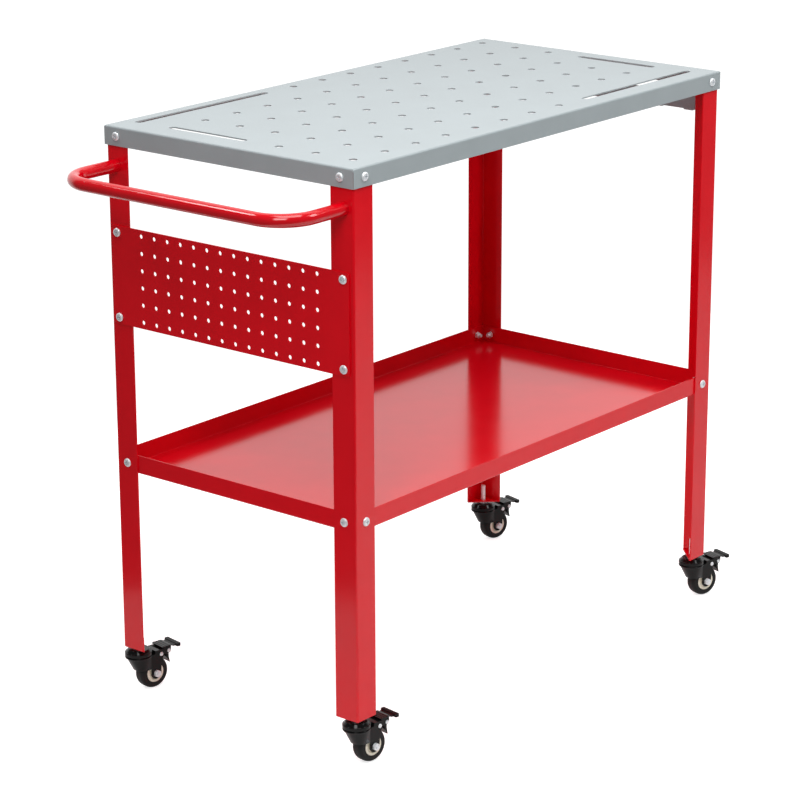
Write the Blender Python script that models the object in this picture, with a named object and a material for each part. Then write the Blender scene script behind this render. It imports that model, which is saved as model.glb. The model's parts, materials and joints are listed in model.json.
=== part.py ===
"""Mobile welding table: a perforated worktop on four angle legs with braked casters.

Metres, +Z up, floor at z = 0. The length runs along X with the handle at -X, the front is at -Y.
"""
import math

import bmesh
import bpy
from mathutils import Matrix, Vector

# Clearances between pieces
SEAT_GAP = 0.0003
SCREW_CLEARANCE = 0.0003
TURN_GAP = 0.0003

# Worktop
TABLE_HEIGHT = 0.8675
TOP_LENGTH = 0.880
TOP_WIDTH = 0.463
TOP_SHEET = 0.002
TOP_FLANGE = 0.028
TOP_BEND = 0.005
HOLE_DIAMETER = 0.012
HOLE_PITCH = 0.0665
HOLE_COLUMNS = 13
HOLE_ROWS = 7
GRID_SHIFT_X = 0.004
GRID_SHIFT_Y = 0.006
LONG_SLOT_STEPS = 4
SHORT_SLOT_STEPS = 2

# Legs
LEG_FACE = 0.040
LEG_SHEET = 0.002
LEG_BEND = 0.003
FOOT_LEDGE = 0.001
CASTER_HEIGHT = 0.0715

# Screws
SCREW_DIAMETER = 0.006
SCREW_LENGTH = 0.014
HEAD_DIAMETER = 0.0115
HEAD_HEIGHT = 0.0028
HEAD_CROWN_DIAMETER = 0.008
HEAD_SHOULDER_HEIGHT = 0.0022
LEG_SCREW_INSET = 0.021

# Tray
TRAY_DROP = 0.487
TRAY_WALL = 0.028
TRAY_SHEET = 0.0015
TRAY_BEND = 0.0025

# Peg panel on the handle end
PANEL_DROP = 0.217
PANEL_WIDTH = 0.444
PANEL_HEIGHT = 0.146
PANEL_SHEET = 0.002
PANEL_CORNER = 0.003
PANEL_SCREW_INSET = 0.010
PEG_DIAMETER = 0.0062
PEG_PITCH = 0.0254
PEG_COLUMNS = 14
PEG_ROWS = 6

# Push handle
HANDLE_DROP = 0.057
HANDLE_SPREAD = 0.424
HANDLE_REACH = 0.115
HANDLE_DIAMETER = 0.019
HANDLE_WALL = 0.0015
HANDLE_BEND = 0.054
INSERT_LENGTH = 0.014

# Hanger rail on the far end
RAIL_DROP = 0.041
RAIL_HEIGHT = 0.0255
RAIL_SHEET = 0.002
RAIL_INSET = 0.0052
HOOK_COUNT = 7
HOOK_PITCH = 0.058
HOOK_WIDTH = 0.016
HOOK_BEND = 0.0022
HOOK_REACH = 0.018
HOOK_LIP = 0.007

# Caster stem and races
STEM_INSET = 0.015
STEM_DIAMETER = 0.008
STEM_RISE = 0.026
STEM_NUT_DIAMETER = 0.015
STEM_NUT_HEIGHT = 0.0035
CASTER_YAWS = {"front_left": -8.0, "front_right": -17.0, "back_right": -14.5, "back_left": -9.5}
RACE_DIAMETER = 0.041
CUP_TOP_DIAMETER = 0.0325
CUP_SHOULDER = 0.004
RACE_BEAD = 0.0015
UPPER_RACE_HEIGHT = 0.010
LOWER_RACE_HEIGHT = 0.0035
KINGPIN_DIAMETER = 0.010
KINGPIN_HEAD = 0.016
KINGPIN_HEAD_HEIGHT = 0.002

# Caster wheel
CASTER_TRAIL = 0.023
WHEEL_DIAMETER = 0.0495
WHEEL_WIDTH = 0.020
WHEEL_SIDE_GAP = 0.001
TYRE_CROWN = 0.0045
TYRE_TREAD = 0.006
HUB_DIAMETER = 0.0295
HUB_RIM = 0.004
HUB_BOSS = 0.015
HUB_RECESS = 0.0025
AXLE_DIAMETER = 0.006
AXLE_NUT_DIAMETER = 0.0115
AXLE_NUT_HEIGHT = 0.0045
AXLE_TAIL = 0.0018

# Caster fork
FORK_SHEET = 0.002
FORK_RACE_LAP = 0.0015
FORK_NOSE = 0.019
FORK_NOSE_DEPTH = 0.0225
FORK_NOSE_LEAD = 0.0065
FORK_NOSE_FULLNESS = 3.0
FORK_SADDLE_RISE = 0.005
FORK_SADDLE_GAP = 0.0008
FORK_TAIL = 0.0375
FORK_TAIL_DEPTH = 0.0105
FORK_KNEE_DROP = 0.011

# Brake pedal
PIVOT_OUT = 0.033
PIVOT_DROP = 0.0185
RIVET_DIAMETER = 0.004
RIVET_HEAD = 0.0064
RIVET_CROWN = 0.0045
RIVET_HEAD_HEIGHT = 0.0016
PEDAL_SHEET = 0.0016
PEDAL_DROP = 0.008
PEDAL_START = 0.0345
PEDAL_FLAT = 0.0165
PEDAL_DIP = 0.002
PEDAL_DIP_LENGTH = 0.0085
PEDAL_LIP = 0.0085
PEDAL_LIP_HEIGHT = 0.005
PEDAL_LIP_ROUND = 0.0015
PEDAL_WIDTH = 0.0265
PEDAL_LIP_WIDTH = 0.033
PEDAL_CHEEK_SHEET = 0.0015
PEDAL_CHEEK_GAP = 0.0005
PEDAL_EAR = 0.004
LINK_RIVET_OUT = 0.016
LINK_RIVET_RISE = 0.001
SHOE_REACH = 0.018
SHOE_DEPTH = 0.0192
SHOE_WIDTH = 0.0045
SHOE_LENGTH = 0.0075

# Facets of round shapes
HOLE_SIDES = 8
PEG_SIDES = 6
BORE_SIDES = 6
SCREW_SIDES = 6
STEM_SIDES = 10
HUB_SIDES = 9
TYRE_SIDES = 16
NUT_SIDES = 6
ARC_STEPS = 4
BEND_STEPS = 5

# Places worked out from the sizes above
LEG_CORNER_X = TOP_LENGTH / 2 - TOP_SHEET - SEAT_GAP
LEG_CORNER_Y = TOP_WIDTH / 2 - TOP_SHEET - SEAT_GAP
LEG_TOP = TABLE_HEIGHT - TOP_BEND - SEAT_GAP
TRAY_X = LEG_CORNER_X - LEG_SHEET - SEAT_GAP
TRAY_Y = LEG_CORNER_Y - LEG_SHEET - SEAT_GAP
TRAY_RIM = TABLE_HEIGHT - TRAY_DROP
PANEL_Z = TABLE_HEIGHT - PANEL_DROP
HANDLE_Z = TABLE_HEIGHT - HANDLE_DROP
RAIL_Z = TABLE_HEIGHT - RAIL_DROP - RAIL_HEIGHT / 2
RAIL_HALF = LEG_CORNER_Y - RAIL_INSET
CHEEK_HALF = WHEEL_WIDTH / 2 + WHEEL_SIDE_GAP + FORK_SHEET
AXLE_Z = WHEEL_DIAMETER / 2
STEM_NUT_Z = CASTER_HEIGHT - SEAT_GAP
RACE_TOP = STEM_NUT_Z - STEM_NUT_HEIGHT
FORK_DECK = RACE_TOP - UPPER_RACE_HEIGHT - TURN_GAP
FORK_PLATE = FORK_DECK - LOWER_RACE_HEIGHT + FORK_RACE_LAP
PIVOT_Z = CASTER_HEIGHT - PIVOT_DROP
LINK_OUT = PIVOT_OUT + LINK_RIVET_OUT
LINK_Z = PIVOT_Z + LINK_RIVET_RISE
PEDAL_Z = CASTER_HEIGHT - PEDAL_DROP
CORNERS = {"front_left": (-1, -1), "front_right": (1, -1), "back_right": (1, 1), "back_left": (-1, 1)}


def finish(name, colour, roughness, metallic=0.0):
    """Make a plain surface finish."""
    material = bpy.data.materials.new(name)
    material.use_nodes = True
    shader = material.node_tree.nodes["Principled BSDF"]
    shader.inputs["Base Color"].default_value = (*colour, 1.0)
    shader.inputs["Roughness"].default_value = roughness
    shader.inputs["Metallic"].default_value = metallic
    return material


def empty(name, parent=None, location=(0, 0, 0), turn=0.0):
    """Add an empty that carries other objects."""
    carrier = bpy.data.objects.new(name, None)
    bpy.context.collection.objects.link(carrier)
    carrier.parent = parent
    carrier.location = location
    carrier.rotation_euler.z = turn
    return carrier


def add(name, shape, material, parent, location=(0, 0, 0), turn=0.0, orient=True):
    """Turn a bmesh into a named object with its finish."""
    if orient:
        bmesh.ops.recalc_face_normals(shape, faces=shape.faces)
    mesh = bpy.data.meshes.new(name)
    shape.to_mesh(mesh)
    shape.free()
    mesh.shade_smooth()
    mesh.set_sharp_from_angle(angle=math.radians(35))
    if material:
        mesh.materials.append(material)
    item = bpy.data.objects.new(name, mesh)
    bpy.context.collection.objects.link(item)
    item.parent = parent
    item.location = location
    item.rotation_euler.z = turn
    return item


def combine(item, name, shape, operation, parent):
    """Cut a shape from an object, or join it on."""
    operand = add(name, shape, None, parent)
    operand.hide_render = True
    operand.display_type = 'WIRE'
    step = item.modifiers.new(name, 'BOOLEAN')
    step.operation = operation
    step.object = operand
    step.solver = 'EXACT'


def thicken(item, thickness):
    """Give a sheet its thickness, inwards from the modelled face."""
    wall = item.modifiers.new("Sheet", 'SOLIDIFY')
    wall.thickness = thickness
    wall.offset = -1.0
    wall.use_even_offset = True


def moved(shape, offset=(0, 0, 0), axis=(0, 0, 1)):
    """Lay a shape that was built along Z on another axis and shift it."""
    lay = Vector((0, 0, 1)).rotation_difference(Vector(axis)).to_matrix().to_4x4()
    bmesh.ops.transform(shape, matrix=Matrix.Translation(offset) @ lay, verts=shape.verts)
    return shape


def gathered(shapes):
    """Put several separate shapes into one."""
    whole = bmesh.new()
    for shape in shapes:
        piece = bpy.data.meshes.new("piece")
        shape.to_mesh(piece)
        shape.free()
        whole.from_mesh(piece)
        bpy.data.meshes.remove(piece)
    return whole


def block(low, high):
    """A box between two corners."""
    shape = bmesh.new()
    bmesh.ops.create_cube(shape, size=1.0)
    bmesh.ops.scale(shape, vec=Vector(high) - Vector(low), verts=shape.verts)
    bmesh.ops.translate(shape, vec=(Vector(high) + Vector(low)) / 2, verts=shape.verts)
    return shape


def open_sides(shape, directions):
    """Take away the faces of a box that look along the given directions."""
    shape.normal_update()
    gone = [face for face in shape.faces for way in directions if face.normal.dot(Vector(way)) > 0.9]
    bmesh.ops.delete(shape, geom=gone, context='FACES')


def round_edges(shape, wanted, radius, segments):
    """Round the edges whose two ends both pass a test."""
    chosen = [edge for edge in shape.edges if all(wanted(vert.co) for vert in edge.verts)]
    bmesh.ops.bevel(shape, geom=chosen, offset=radius, segments=segments, affect='EDGES', profile=0.5)


def rod(middle, axis, diameter, length, sides):
    """A straight rod whose flats keep the given diameter."""
    shape = bmesh.new()
    radius = diameter / 2 / math.cos(math.pi / sides)
    bmesh.ops.create_cone(shape, cap_ends=True, segments=sides, radius1=radius, radius2=radius, depth=length)
    return moved(shape, middle, axis)


def prism(corners, depth):
    """Extrude a flat outline along a vector."""
    shape = bmesh.new()
    face = shape.faces.new([shape.verts.new(corner) for corner in corners])
    grown = bmesh.ops.extrude_face_region(shape, geom=[face])
    far = [part for part in grown["geom"] if isinstance(part, bmesh.types.BMVert)]
    bmesh.ops.translate(shape, vec=depth, verts=far)
    return shape


def turned(profile, sides):
    """Spin a (radius, height) profile about Z into a closed body."""
    shape = bmesh.new()
    line = [shape.verts.new((radius, 0, height)) for radius, height in profile]
    edges = [shape.edges.new(pair) for pair in zip(line, line[1:])]
    bmesh.ops.spin(shape, geom=line + edges, cent=(0, 0, 0), axis=(0, 0, 1), angle=math.tau, steps=sides)
    bmesh.ops.remove_doubles(shape, verts=shape.verts, dist=1e-6)
    return shape


def arc(middle, radius, start, stop, steps):
    """Points along an arc, in degrees, both ends included."""
    angles = [math.radians(start + (stop - start) * k / steps) for k in range(steps + 1)]
    return [(middle[0] + radius * math.cos(a), middle[1] + radius * math.sin(a)) for a in angles]


def grid_place(column, row):
    """Centre of a worktop hole, counted from the handle end and from the front."""
    return (GRID_SHIFT_X + (column - (HOLE_COLUMNS - 1) / 2) * HOLE_PITCH,
            GRID_SHIFT_Y + (row - (HOLE_ROWS - 1) / 2) * HOLE_PITCH)


def slot_runs():
    """The four slots as pairs of grid cells: a long and a short one at two opposite corners."""
    last = HOLE_COLUMNS - 1
    back = HOLE_ROWS - 1
    return [((0, back), (LONG_SLOT_STEPS, back)),
            ((0, back - 1 - SHORT_SLOT_STEPS), (0, back - 1)),
            ((last - LONG_SLOT_STEPS, 0), (last, 0)),
            ((last, 1), (last, 1 + SHORT_SLOT_STEPS))]


def worktop_openings():
    """Cutters for the round holes and the slots, through the sheet only."""
    cutters = []
    depth = 4 * TOP_SHEET
    middle_z = TABLE_HEIGHT - TOP_SHEET / 2
    taken = set()
    for start, stop in slot_runs():
        taken |= {(i, j) for i in range(start[0], stop[0] + 1) for j in range(start[1], stop[1] + 1)}
        along = math.degrees(math.atan2(stop[1] - start[1], stop[0] - start[0]))
        outline = arc(grid_place(*stop), HOLE_DIAMETER / 2, along - 90, along + 90, HOLE_SIDES // 2)
        outline += arc(grid_place(*start), HOLE_DIAMETER / 2, along + 90, along + 270, HOLE_SIDES // 2)
        floor = middle_z - depth / 2
        cutters.append(prism([(x, y, floor) for x, y in outline], (0, 0, depth)))
    for column in range(HOLE_COLUMNS):
        for row in range(HOLE_ROWS):
            if (column, row) not in taken:
                x, y = grid_place(column, row)
                cutters.append(rod((x, y, middle_z), (0, 0, 1), HOLE_DIAMETER, depth, HOLE_SIDES))
    return cutters


def screw_places():
    """Every screw: its name, the point under its head, the way out, its grip and the pieces it holds."""
    places = []
    flange_z = TABLE_HEIGHT - TOP_FLANGE / 2
    tray_z = TRAY_RIM - TRAY_WALL / 2
    top_grip = TOP_SHEET + SEAT_GAP + LEG_SHEET
    tray_grip = LEG_SHEET + SEAT_GAP + TRAY_SHEET
    for corner, (sx, sy) in CORNERS.items():
        leg = "leg_" + corner
        leg_x = sx * (LEG_CORNER_X - LEG_SCREW_INSET)
        leg_y = sy * (LEG_CORNER_Y - LEG_SCREW_INSET)
        end, side = (sx, 0, 0), (0, sy, 0)
        places.append(("top_screw_end_" + corner, (sx * TOP_LENGTH / 2, leg_y, flange_z), end,
                       top_grip, ("worktop", leg)))
        places.append(("top_screw_side_" + corner, (leg_x, sy * TOP_WIDTH / 2, flange_z), side,
                       top_grip, ("worktop", leg)))
        places.append(("tray_screw_end_" + corner, (sx * LEG_CORNER_X, leg_y, tray_z), end,
                       tray_grip, (leg, "tray")))
        places.append(("tray_screw_side_" + corner, (leg_x, sy * LEG_CORNER_Y, tray_z), side,
                       tray_grip, (leg, "tray")))
    panel_x = -(LEG_CORNER_X + SEAT_GAP + PANEL_SHEET)
    rail_x = LEG_CORNER_X + SEAT_GAP + RAIL_SHEET
    for row, sy in (("front", -1), ("back", 1)):
        for level, sz in (("low", -1), ("high", 1)):
            y = sy * (PANEL_WIDTH / 2 - PANEL_SCREW_INSET)
            z = PANEL_Z + sz * (PANEL_HEIGHT / 2 - PANEL_SCREW_INSET)
            places.append((f"panel_screw_{row}_{level}", (panel_x, y, z), (-1, 0, 0),
                           PANEL_SHEET + SEAT_GAP + LEG_SHEET, ("peg_panel", f"leg_{row}_left")))
        y = sy * (LEG_CORNER_Y - LEG_FACE / 2)
        places.append((f"rail_screw_{row}", (rail_x, y, RAIL_Z), (1, 0, 0),
                       RAIL_SHEET + SEAT_GAP + LEG_SHEET, ("hanger_rail", f"leg_{row}_right")))
    return places


def bores(piece):
    """Cutters for the screw holes of one piece."""
    cutters = []
    for _, seat, way, grip, pieces in screw_places():
        if piece in pieces:
            middle = Vector(seat) - Vector(way) * grip / 2
            cutters.append(rod(middle, way, SCREW_DIAMETER + 2 * SCREW_CLEARANCE, 2 * grip, BORE_SIDES))
    for row, sy in (("front", -1), ("back", 1)):
        if piece == f"leg_{row}_left":
            middle = (-LEG_CORNER_X + LEG_SHEET / 2, sy * HANDLE_SPREAD / 2, HANDLE_Z)
            width = SCREW_DIAMETER + 2 * SCREW_CLEARANCE
            cutters.append(rod(middle, (1, 0, 0), width, 3 * LEG_SHEET, BORE_SIDES))
    return cutters


def build_worktop(parent):
    """A sheet folded down on four sides, with the grid of holes and the four slots."""
    shape = block((-TOP_LENGTH / 2, -TOP_WIDTH / 2, -TOP_FLANGE), (TOP_LENGTH / 2, TOP_WIDTH / 2, 0))
    open_sides(shape, [(0, 0, -1)])
    round_edges(shape, lambda place: place.z > -TOP_FLANGE / 2, TOP_BEND, 3)
    item = add("worktop", shape, GREY_PAINT, parent, (0, 0, TABLE_HEIGHT))
    thicken(item, TOP_SHEET)
    combine(item, "worktop_cutter", gathered(worktop_openings() + bores("worktop")), 'DIFFERENCE', parent)


def foot_trim(sx, sy):
    """Cutter that leaves the foot plate three-cornered, from the end of one leg face to the other."""
    ledge = LEG_SHEET + FOOT_LEDGE
    past = LEG_SHEET
    far = LEG_FACE + past
    outline = [(far, ledge - past), (far, far), (ledge - past, far)]
    corners = [(sx * (LEG_CORNER_X - a), sy * (LEG_CORNER_Y - b), CASTER_HEIGHT - past) for a, b in outline]
    return prism(corners, (0, 0, LEG_SHEET + 2 * past))


def build_leg(corner, index, parent):
    """A bent angle with a three-cornered foot plate, placed at its outer corner."""
    sx, sy = CORNERS[corner]
    name = "leg_" + corner
    shape = block((0, 0, 0), (LEG_FACE, LEG_FACE, LEG_TOP - CASTER_HEIGHT))
    open_sides(shape, [(0, 0, 1), (1, 0, 0), (0, 1, 0)])
    round_edges(shape, lambda place: max(place.x, place.y) < LEG_BEND, LEG_BEND, 2)
    place = (sx * LEG_CORNER_X, sy * LEG_CORNER_Y, CASTER_HEIGHT)
    item = add(name, shape, RED_PAINT, parent, place, index * math.pi / 2)
    thicken(item, LEG_SHEET)
    stem = (sx * (LEG_CORNER_X - STEM_INSET), sy * (LEG_CORNER_Y - STEM_INSET), CASTER_HEIGHT)
    stem_hole = rod(stem, (0, 0, 1), STEM_DIAMETER + 2 * SCREW_CLEARANCE, 4 * LEG_SHEET, STEM_SIDES)
    cutters = bores(name) + [stem_hole, foot_trim(sx, sy)]
    combine(item, name + "_cutter", gathered(cutters), 'DIFFERENCE', parent)


def build_tray(parent):
    """A shallow pan between the legs, open at the top."""
    shape = block((-TRAY_X, -TRAY_Y, -TRAY_WALL), (TRAY_X, TRAY_Y, 0))
    open_sides(shape, [(0, 0, 1)])
    bends = [edge for edge in shape.edges if len(edge.link_faces) == 2]
    bmesh.ops.bevel(shape, geom=bends, offset=TRAY_BEND, segments=2, affect='EDGES', profile=0.5)
    item = add("tray", shape, RED_PAINT, parent, (0, 0, TRAY_RIM))
    thicken(item, TRAY_SHEET)
    combine(item, "tray_cutter", gathered(bores("tray")), 'DIFFERENCE', parent)


def build_panel(parent):
    """A flat sheet with rows of peg holes across the two legs of the handle end."""
    inner = -(LEG_CORNER_X + SEAT_GAP)
    low = (inner - PANEL_SHEET, -PANEL_WIDTH / 2, PANEL_Z - PANEL_HEIGHT / 2)
    high = (inner, PANEL_WIDTH / 2, PANEL_Z + PANEL_HEIGHT / 2)
    shape = block(low, high)
    corners = [edge for edge in shape.edges if abs(edge.verts[0].co.x - edge.verts[1].co.x) > PANEL_SHEET / 2]
    bmesh.ops.bevel(shape, geom=corners, offset=PANEL_CORNER, segments=1, affect='EDGES', profile=0.5)
    item = add("peg_panel", shape, RED_PAINT, parent)
    pegs = []
    for column in range(PEG_COLUMNS):
        for row in range(PEG_ROWS):
            y = (column - (PEG_COLUMNS - 1) / 2) * PEG_PITCH
            z = PANEL_Z + (row - (PEG_ROWS - 1) / 2) * PEG_PITCH
            middle = (inner - PANEL_SHEET / 2, y, z)
            pegs.append(rod(middle, (1, 0, 0), PEG_DIAMETER, 3 * PANEL_SHEET, PEG_SIDES))
    combine(item, "panel_cutter", gathered(pegs + bores("peg_panel")), 'DIFFERENCE', parent)


def build_handle(parent):
    """A bent tube that butts on the two legs, with a threaded insert and screw in each end."""
    start = -(LEG_CORNER_X + SEAT_GAP)
    bar = -(LEG_CORNER_X + HANDLE_REACH)
    side = HANDLE_SPREAD / 2
    route = [(start, -side)]
    route += arc((bar + HANDLE_BEND, -side + HANDLE_BEND), HANDLE_BEND, 270, 180, BEND_STEPS)
    route += arc((bar + HANDLE_BEND, side - HANDLE_BEND), HANDLE_BEND, 180, 90, BEND_STEPS)
    route += [(start, side)]
    tube = bpy.data.curves.new("handle", 'CURVE')
    tube.dimensions = '3D'
    tube.bevel_depth = HANDLE_DIAMETER / 2
    tube.bevel_resolution = 2
    line = tube.splines.new('POLY')
    line.points.add(len(route) - 1)
    for point, (x, y) in zip(line.points, route):
        point.co = (x, y, HANDLE_Z, 1)
    tube.materials.append(RED_PAINT)
    item = bpy.data.objects.new("handle", tube)
    bpy.context.collection.objects.link(item)
    item.parent = parent
    thicken(item, HANDLE_WALL)
    bore = (HANDLE_DIAMETER / 2 - HANDLE_WALL) * math.cos(math.pi / BORE_SIDES) - SEAT_GAP
    head = -(LEG_SHEET + SEAT_GAP)
    shank = SCREW_DIAMETER / 2
    profile = [(0, INSERT_LENGTH), (bore, INSERT_LENGTH), (bore, SEAT_GAP), (shank, SEAT_GAP), (shank, head),
               (HEAD_DIAMETER / 2, head), (HEAD_CROWN_DIAMETER / 2, head - HEAD_SHOULDER_HEIGHT),
               (0, head - HEAD_HEIGHT)]
    for row, sy in (("front", -1), ("back", 1)):
        screw = moved(turned(profile, SCREW_SIDES), axis=(-1, 0, 0))
        add("handle_screw_" + row, screw, ZINC, parent, (-LEG_CORNER_X, sy * side, HANDLE_Z))


def build_rail(parent):
    """A strip across the two far legs with a row of hooks bent out of its lower edge."""
    shape = bmesh.new()
    hook = [(HOOK_BEND, -HOOK_BEND), (HOOK_REACH - HOOK_BEND, -HOOK_BEND),
            (HOOK_REACH, 0), (HOOK_REACH, HOOK_LIP)]
    centres = [(k - (HOOK_COUNT - 1) / 2) * HOOK_PITCH for k in range(HOOK_COUNT)]
    stations = [-RAIL_HALF]
    for centre in centres:
        stations += [centre - HOOK_WIDTH / 2, centre + HOOK_WIDTH / 2]
    stations.append(RAIL_HALF)
    upper = [shape.verts.new((0, y, RAIL_HEIGHT / 2)) for y in stations]
    lower = [shape.verts.new((0, y, -RAIL_HEIGHT / 2)) for y in stations]
    for k in range(len(stations) - 1):
        shape.faces.new((upper[k], upper[k + 1], lower[k + 1], lower[k]))
        if k % 2:
            left, right = lower[k], lower[k + 1]
            for x, z in hook:
                next_left = shape.verts.new((x, stations[k], z - RAIL_HEIGHT / 2))
                next_right = shape.verts.new((x, stations[k + 1], z - RAIL_HEIGHT / 2))
                shape.faces.new((left, right, next_right, next_left))
                left, right = next_left, next_right
    place = (LEG_CORNER_X + SEAT_GAP, 0, RAIL_Z)
    item = add("hanger_rail", shape, GREY_PAINT, parent, place, orient=False)
    thicken(item, RAIL_SHEET)
    combine(item, "rail_cutter", gathered(bores("hanger_rail")), 'DIFFERENCE', parent)


def build_screws(parent):
    """Pan-head screws through the sheets that they hold."""
    profile = [(0, SEAT_GAP + HEAD_HEIGHT), (HEAD_CROWN_DIAMETER / 2, SEAT_GAP + HEAD_SHOULDER_HEIGHT),
               (HEAD_DIAMETER / 2, SEAT_GAP), (SCREW_DIAMETER / 2, SEAT_GAP),
               (SCREW_DIAMETER / 2, -SCREW_LENGTH), (0, -SCREW_LENGTH)]
    for name, seat, way, _, _ in screw_places():
        add(name, moved(turned(profile, SCREW_SIDES), axis=way), ZINC, parent, seat)


def build_stem(corner, parent, place):
    """Threaded stem, jam nut, upper race and kingpin of one caster."""
    race = RACE_DIAMETER / 2
    low = FORK_DECK + TURN_GAP
    bead = RACE_TOP - CUP_SHOULDER
    pin_head = FORK_PLATE - FORK_SHEET - TURN_GAP
    top = CASTER_HEIGHT + LEG_SHEET + STEM_RISE
    profile = [(0, top), (STEM_DIAMETER / 2, top), (STEM_DIAMETER / 2, STEM_NUT_Z),
               (STEM_NUT_DIAMETER / 2, STEM_NUT_Z), (STEM_NUT_DIAMETER / 2, RACE_TOP),
               (CUP_TOP_DIAMETER / 2, RACE_TOP), (race - RACE_BEAD, bead), (race, bead - RACE_BEAD),
               (race, low + RACE_BEAD), (race - RACE_BEAD, low), (KINGPIN_DIAMETER / 2, low),
               (KINGPIN_DIAMETER / 2, pin_head), (KINGPIN_HEAD / 2, pin_head),
               (KINGPIN_HEAD / 2, pin_head - KINGPIN_HEAD_HEIGHT), (0, pin_head - KINGPIN_HEAD_HEIGHT)]
    add("caster_stem_" + corner, turned(profile, STEM_SIDES), ZINC, parent, place)


def rivet(half):
    """A rivet along Y with a head outside each end of its grip."""
    shank, head, crown = RIVET_DIAMETER / 2, RIVET_HEAD / 2, RIVET_CROWN / 2
    end = half + RIVET_HEAD_HEIGHT
    profile = [(0, end), (crown, end), (head, half), (shank, half),
               (shank, -half), (head, -half), (crown, -end), (0, -end)]
    return moved(turned(profile, NUT_SIDES), axis=(0, 1, 0))


def fork_sheet():
    """Outer face of the fork: a round nose that narrows downwards and two flat cheeks under a saddle."""
    shape = bmesh.new()
    join = math.sqrt(FORK_NOSE ** 2 - CHEEK_HALF ** 2)
    end = CASTER_TRAIL - join
    saddle = RACE_DIAMETER / 2 + FORK_SADDLE_GAP
    high = FORK_PLATE + FORK_SADDLE_RISE
    nose_low = FORK_PLATE - FORK_NOSE_DEPTH
    crest = [(join, FORK_PLATE), (saddle, FORK_PLATE), (saddle + FORK_SADDLE_GAP, high), (FORK_TAIL, high)]
    knee = CASTER_TRAIL + end + FORK_SADDLE_GAP
    flank = [(FORK_TAIL, high - FORK_TAIL_DEPTH), (knee, PIVOT_Z - FORK_KNEE_DROP)]
    flank += arc((CASTER_TRAIL, AXLE_Z), end, 0, -180, ARC_STEPS) + [(join, nose_low)]
    cheeks = {}
    for side in (-1, 1):
        verts = [shape.verts.new((u, side * CHEEK_HALF, z)) for u, z in crest + flank]
        shape.faces.new(verts)
        cheeks[side] = verts
    for k in range(len(crest) - 1):
        shape.faces.new((cheeks[-1][k], cheeks[-1][k + 1], cheeks[1][k + 1], cheeks[1][k]))
    swing = math.atan2(CHEEK_HALF, join)
    upper, lower = [cheeks[1][0]], [cheeks[1][-1]]
    steps = 2 * ARC_STEPS
    for k in range(1, steps):
        share = k / steps
        angle = swing + (math.tau - 2 * swing) * share
        upper.append(shape.verts.new((FORK_NOSE * math.cos(angle), FORK_NOSE * math.sin(angle), FORK_PLATE)))
        ahead = math.sin(math.pi * share) ** (2 / FORK_NOSE_FULLNESS)
        aside = math.copysign(abs(math.cos(math.pi * share)) ** (2 / FORK_NOSE_FULLNESS), 0.5 - share)
        lower.append(shape.verts.new((join - (join + FORK_NOSE_LEAD) * ahead, CHEEK_HALF * aside, nose_low)))
    upper.append(cheeks[-1][0])
    lower.append(cheeks[-1][-1])
    shape.faces.new(upper)
    for k in range(steps):
        shape.faces.new((upper[k], upper[k + 1], lower[k + 1]))
        shape.faces.new((upper[k], lower[k + 1], lower[k]))
    return shape


def build_fork(corner, carrier):
    """Pressed fork with its lower race and the pedal's pivot rivet."""
    name = "caster_fork_" + corner
    item = add(name, fork_sheet(), BLACK_STEEL, carrier)
    thicken(item, FORK_SHEET)
    race = RACE_DIAMETER / 2
    low = FORK_DECK - LOWER_RACE_HEIGHT
    profile = [(0, FORK_DECK), (race - RACE_BEAD, FORK_DECK), (race, FORK_DECK - RACE_BEAD),
               (race, low), (0, low)]
    combine(item, name + "_race", turned(profile, STEM_SIDES), 'UNION', carrier)
    pin_width = KINGPIN_DIAMETER + 2 * TURN_GAP
    pin = rod((0, 0, FORK_DECK), (0, 0, 1), pin_width, 6 * LOWER_RACE_HEIGHT, STEM_SIDES)
    axle = rod((CASTER_TRAIL, 0, AXLE_Z), (0, 1, 0), AXLE_DIAMETER + 2 * SCREW_CLEARANCE,
               3 * CHEEK_HALF, BORE_SIDES)
    combine(item, name + "_cutter", gathered([pin, axle]), 'DIFFERENCE', carrier)
    combine(item, name + "_pivot", moved(rivet(CHEEK_HALF), (PIVOT_OUT, 0, PIVOT_Z)), 'UNION', carrier)


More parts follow.
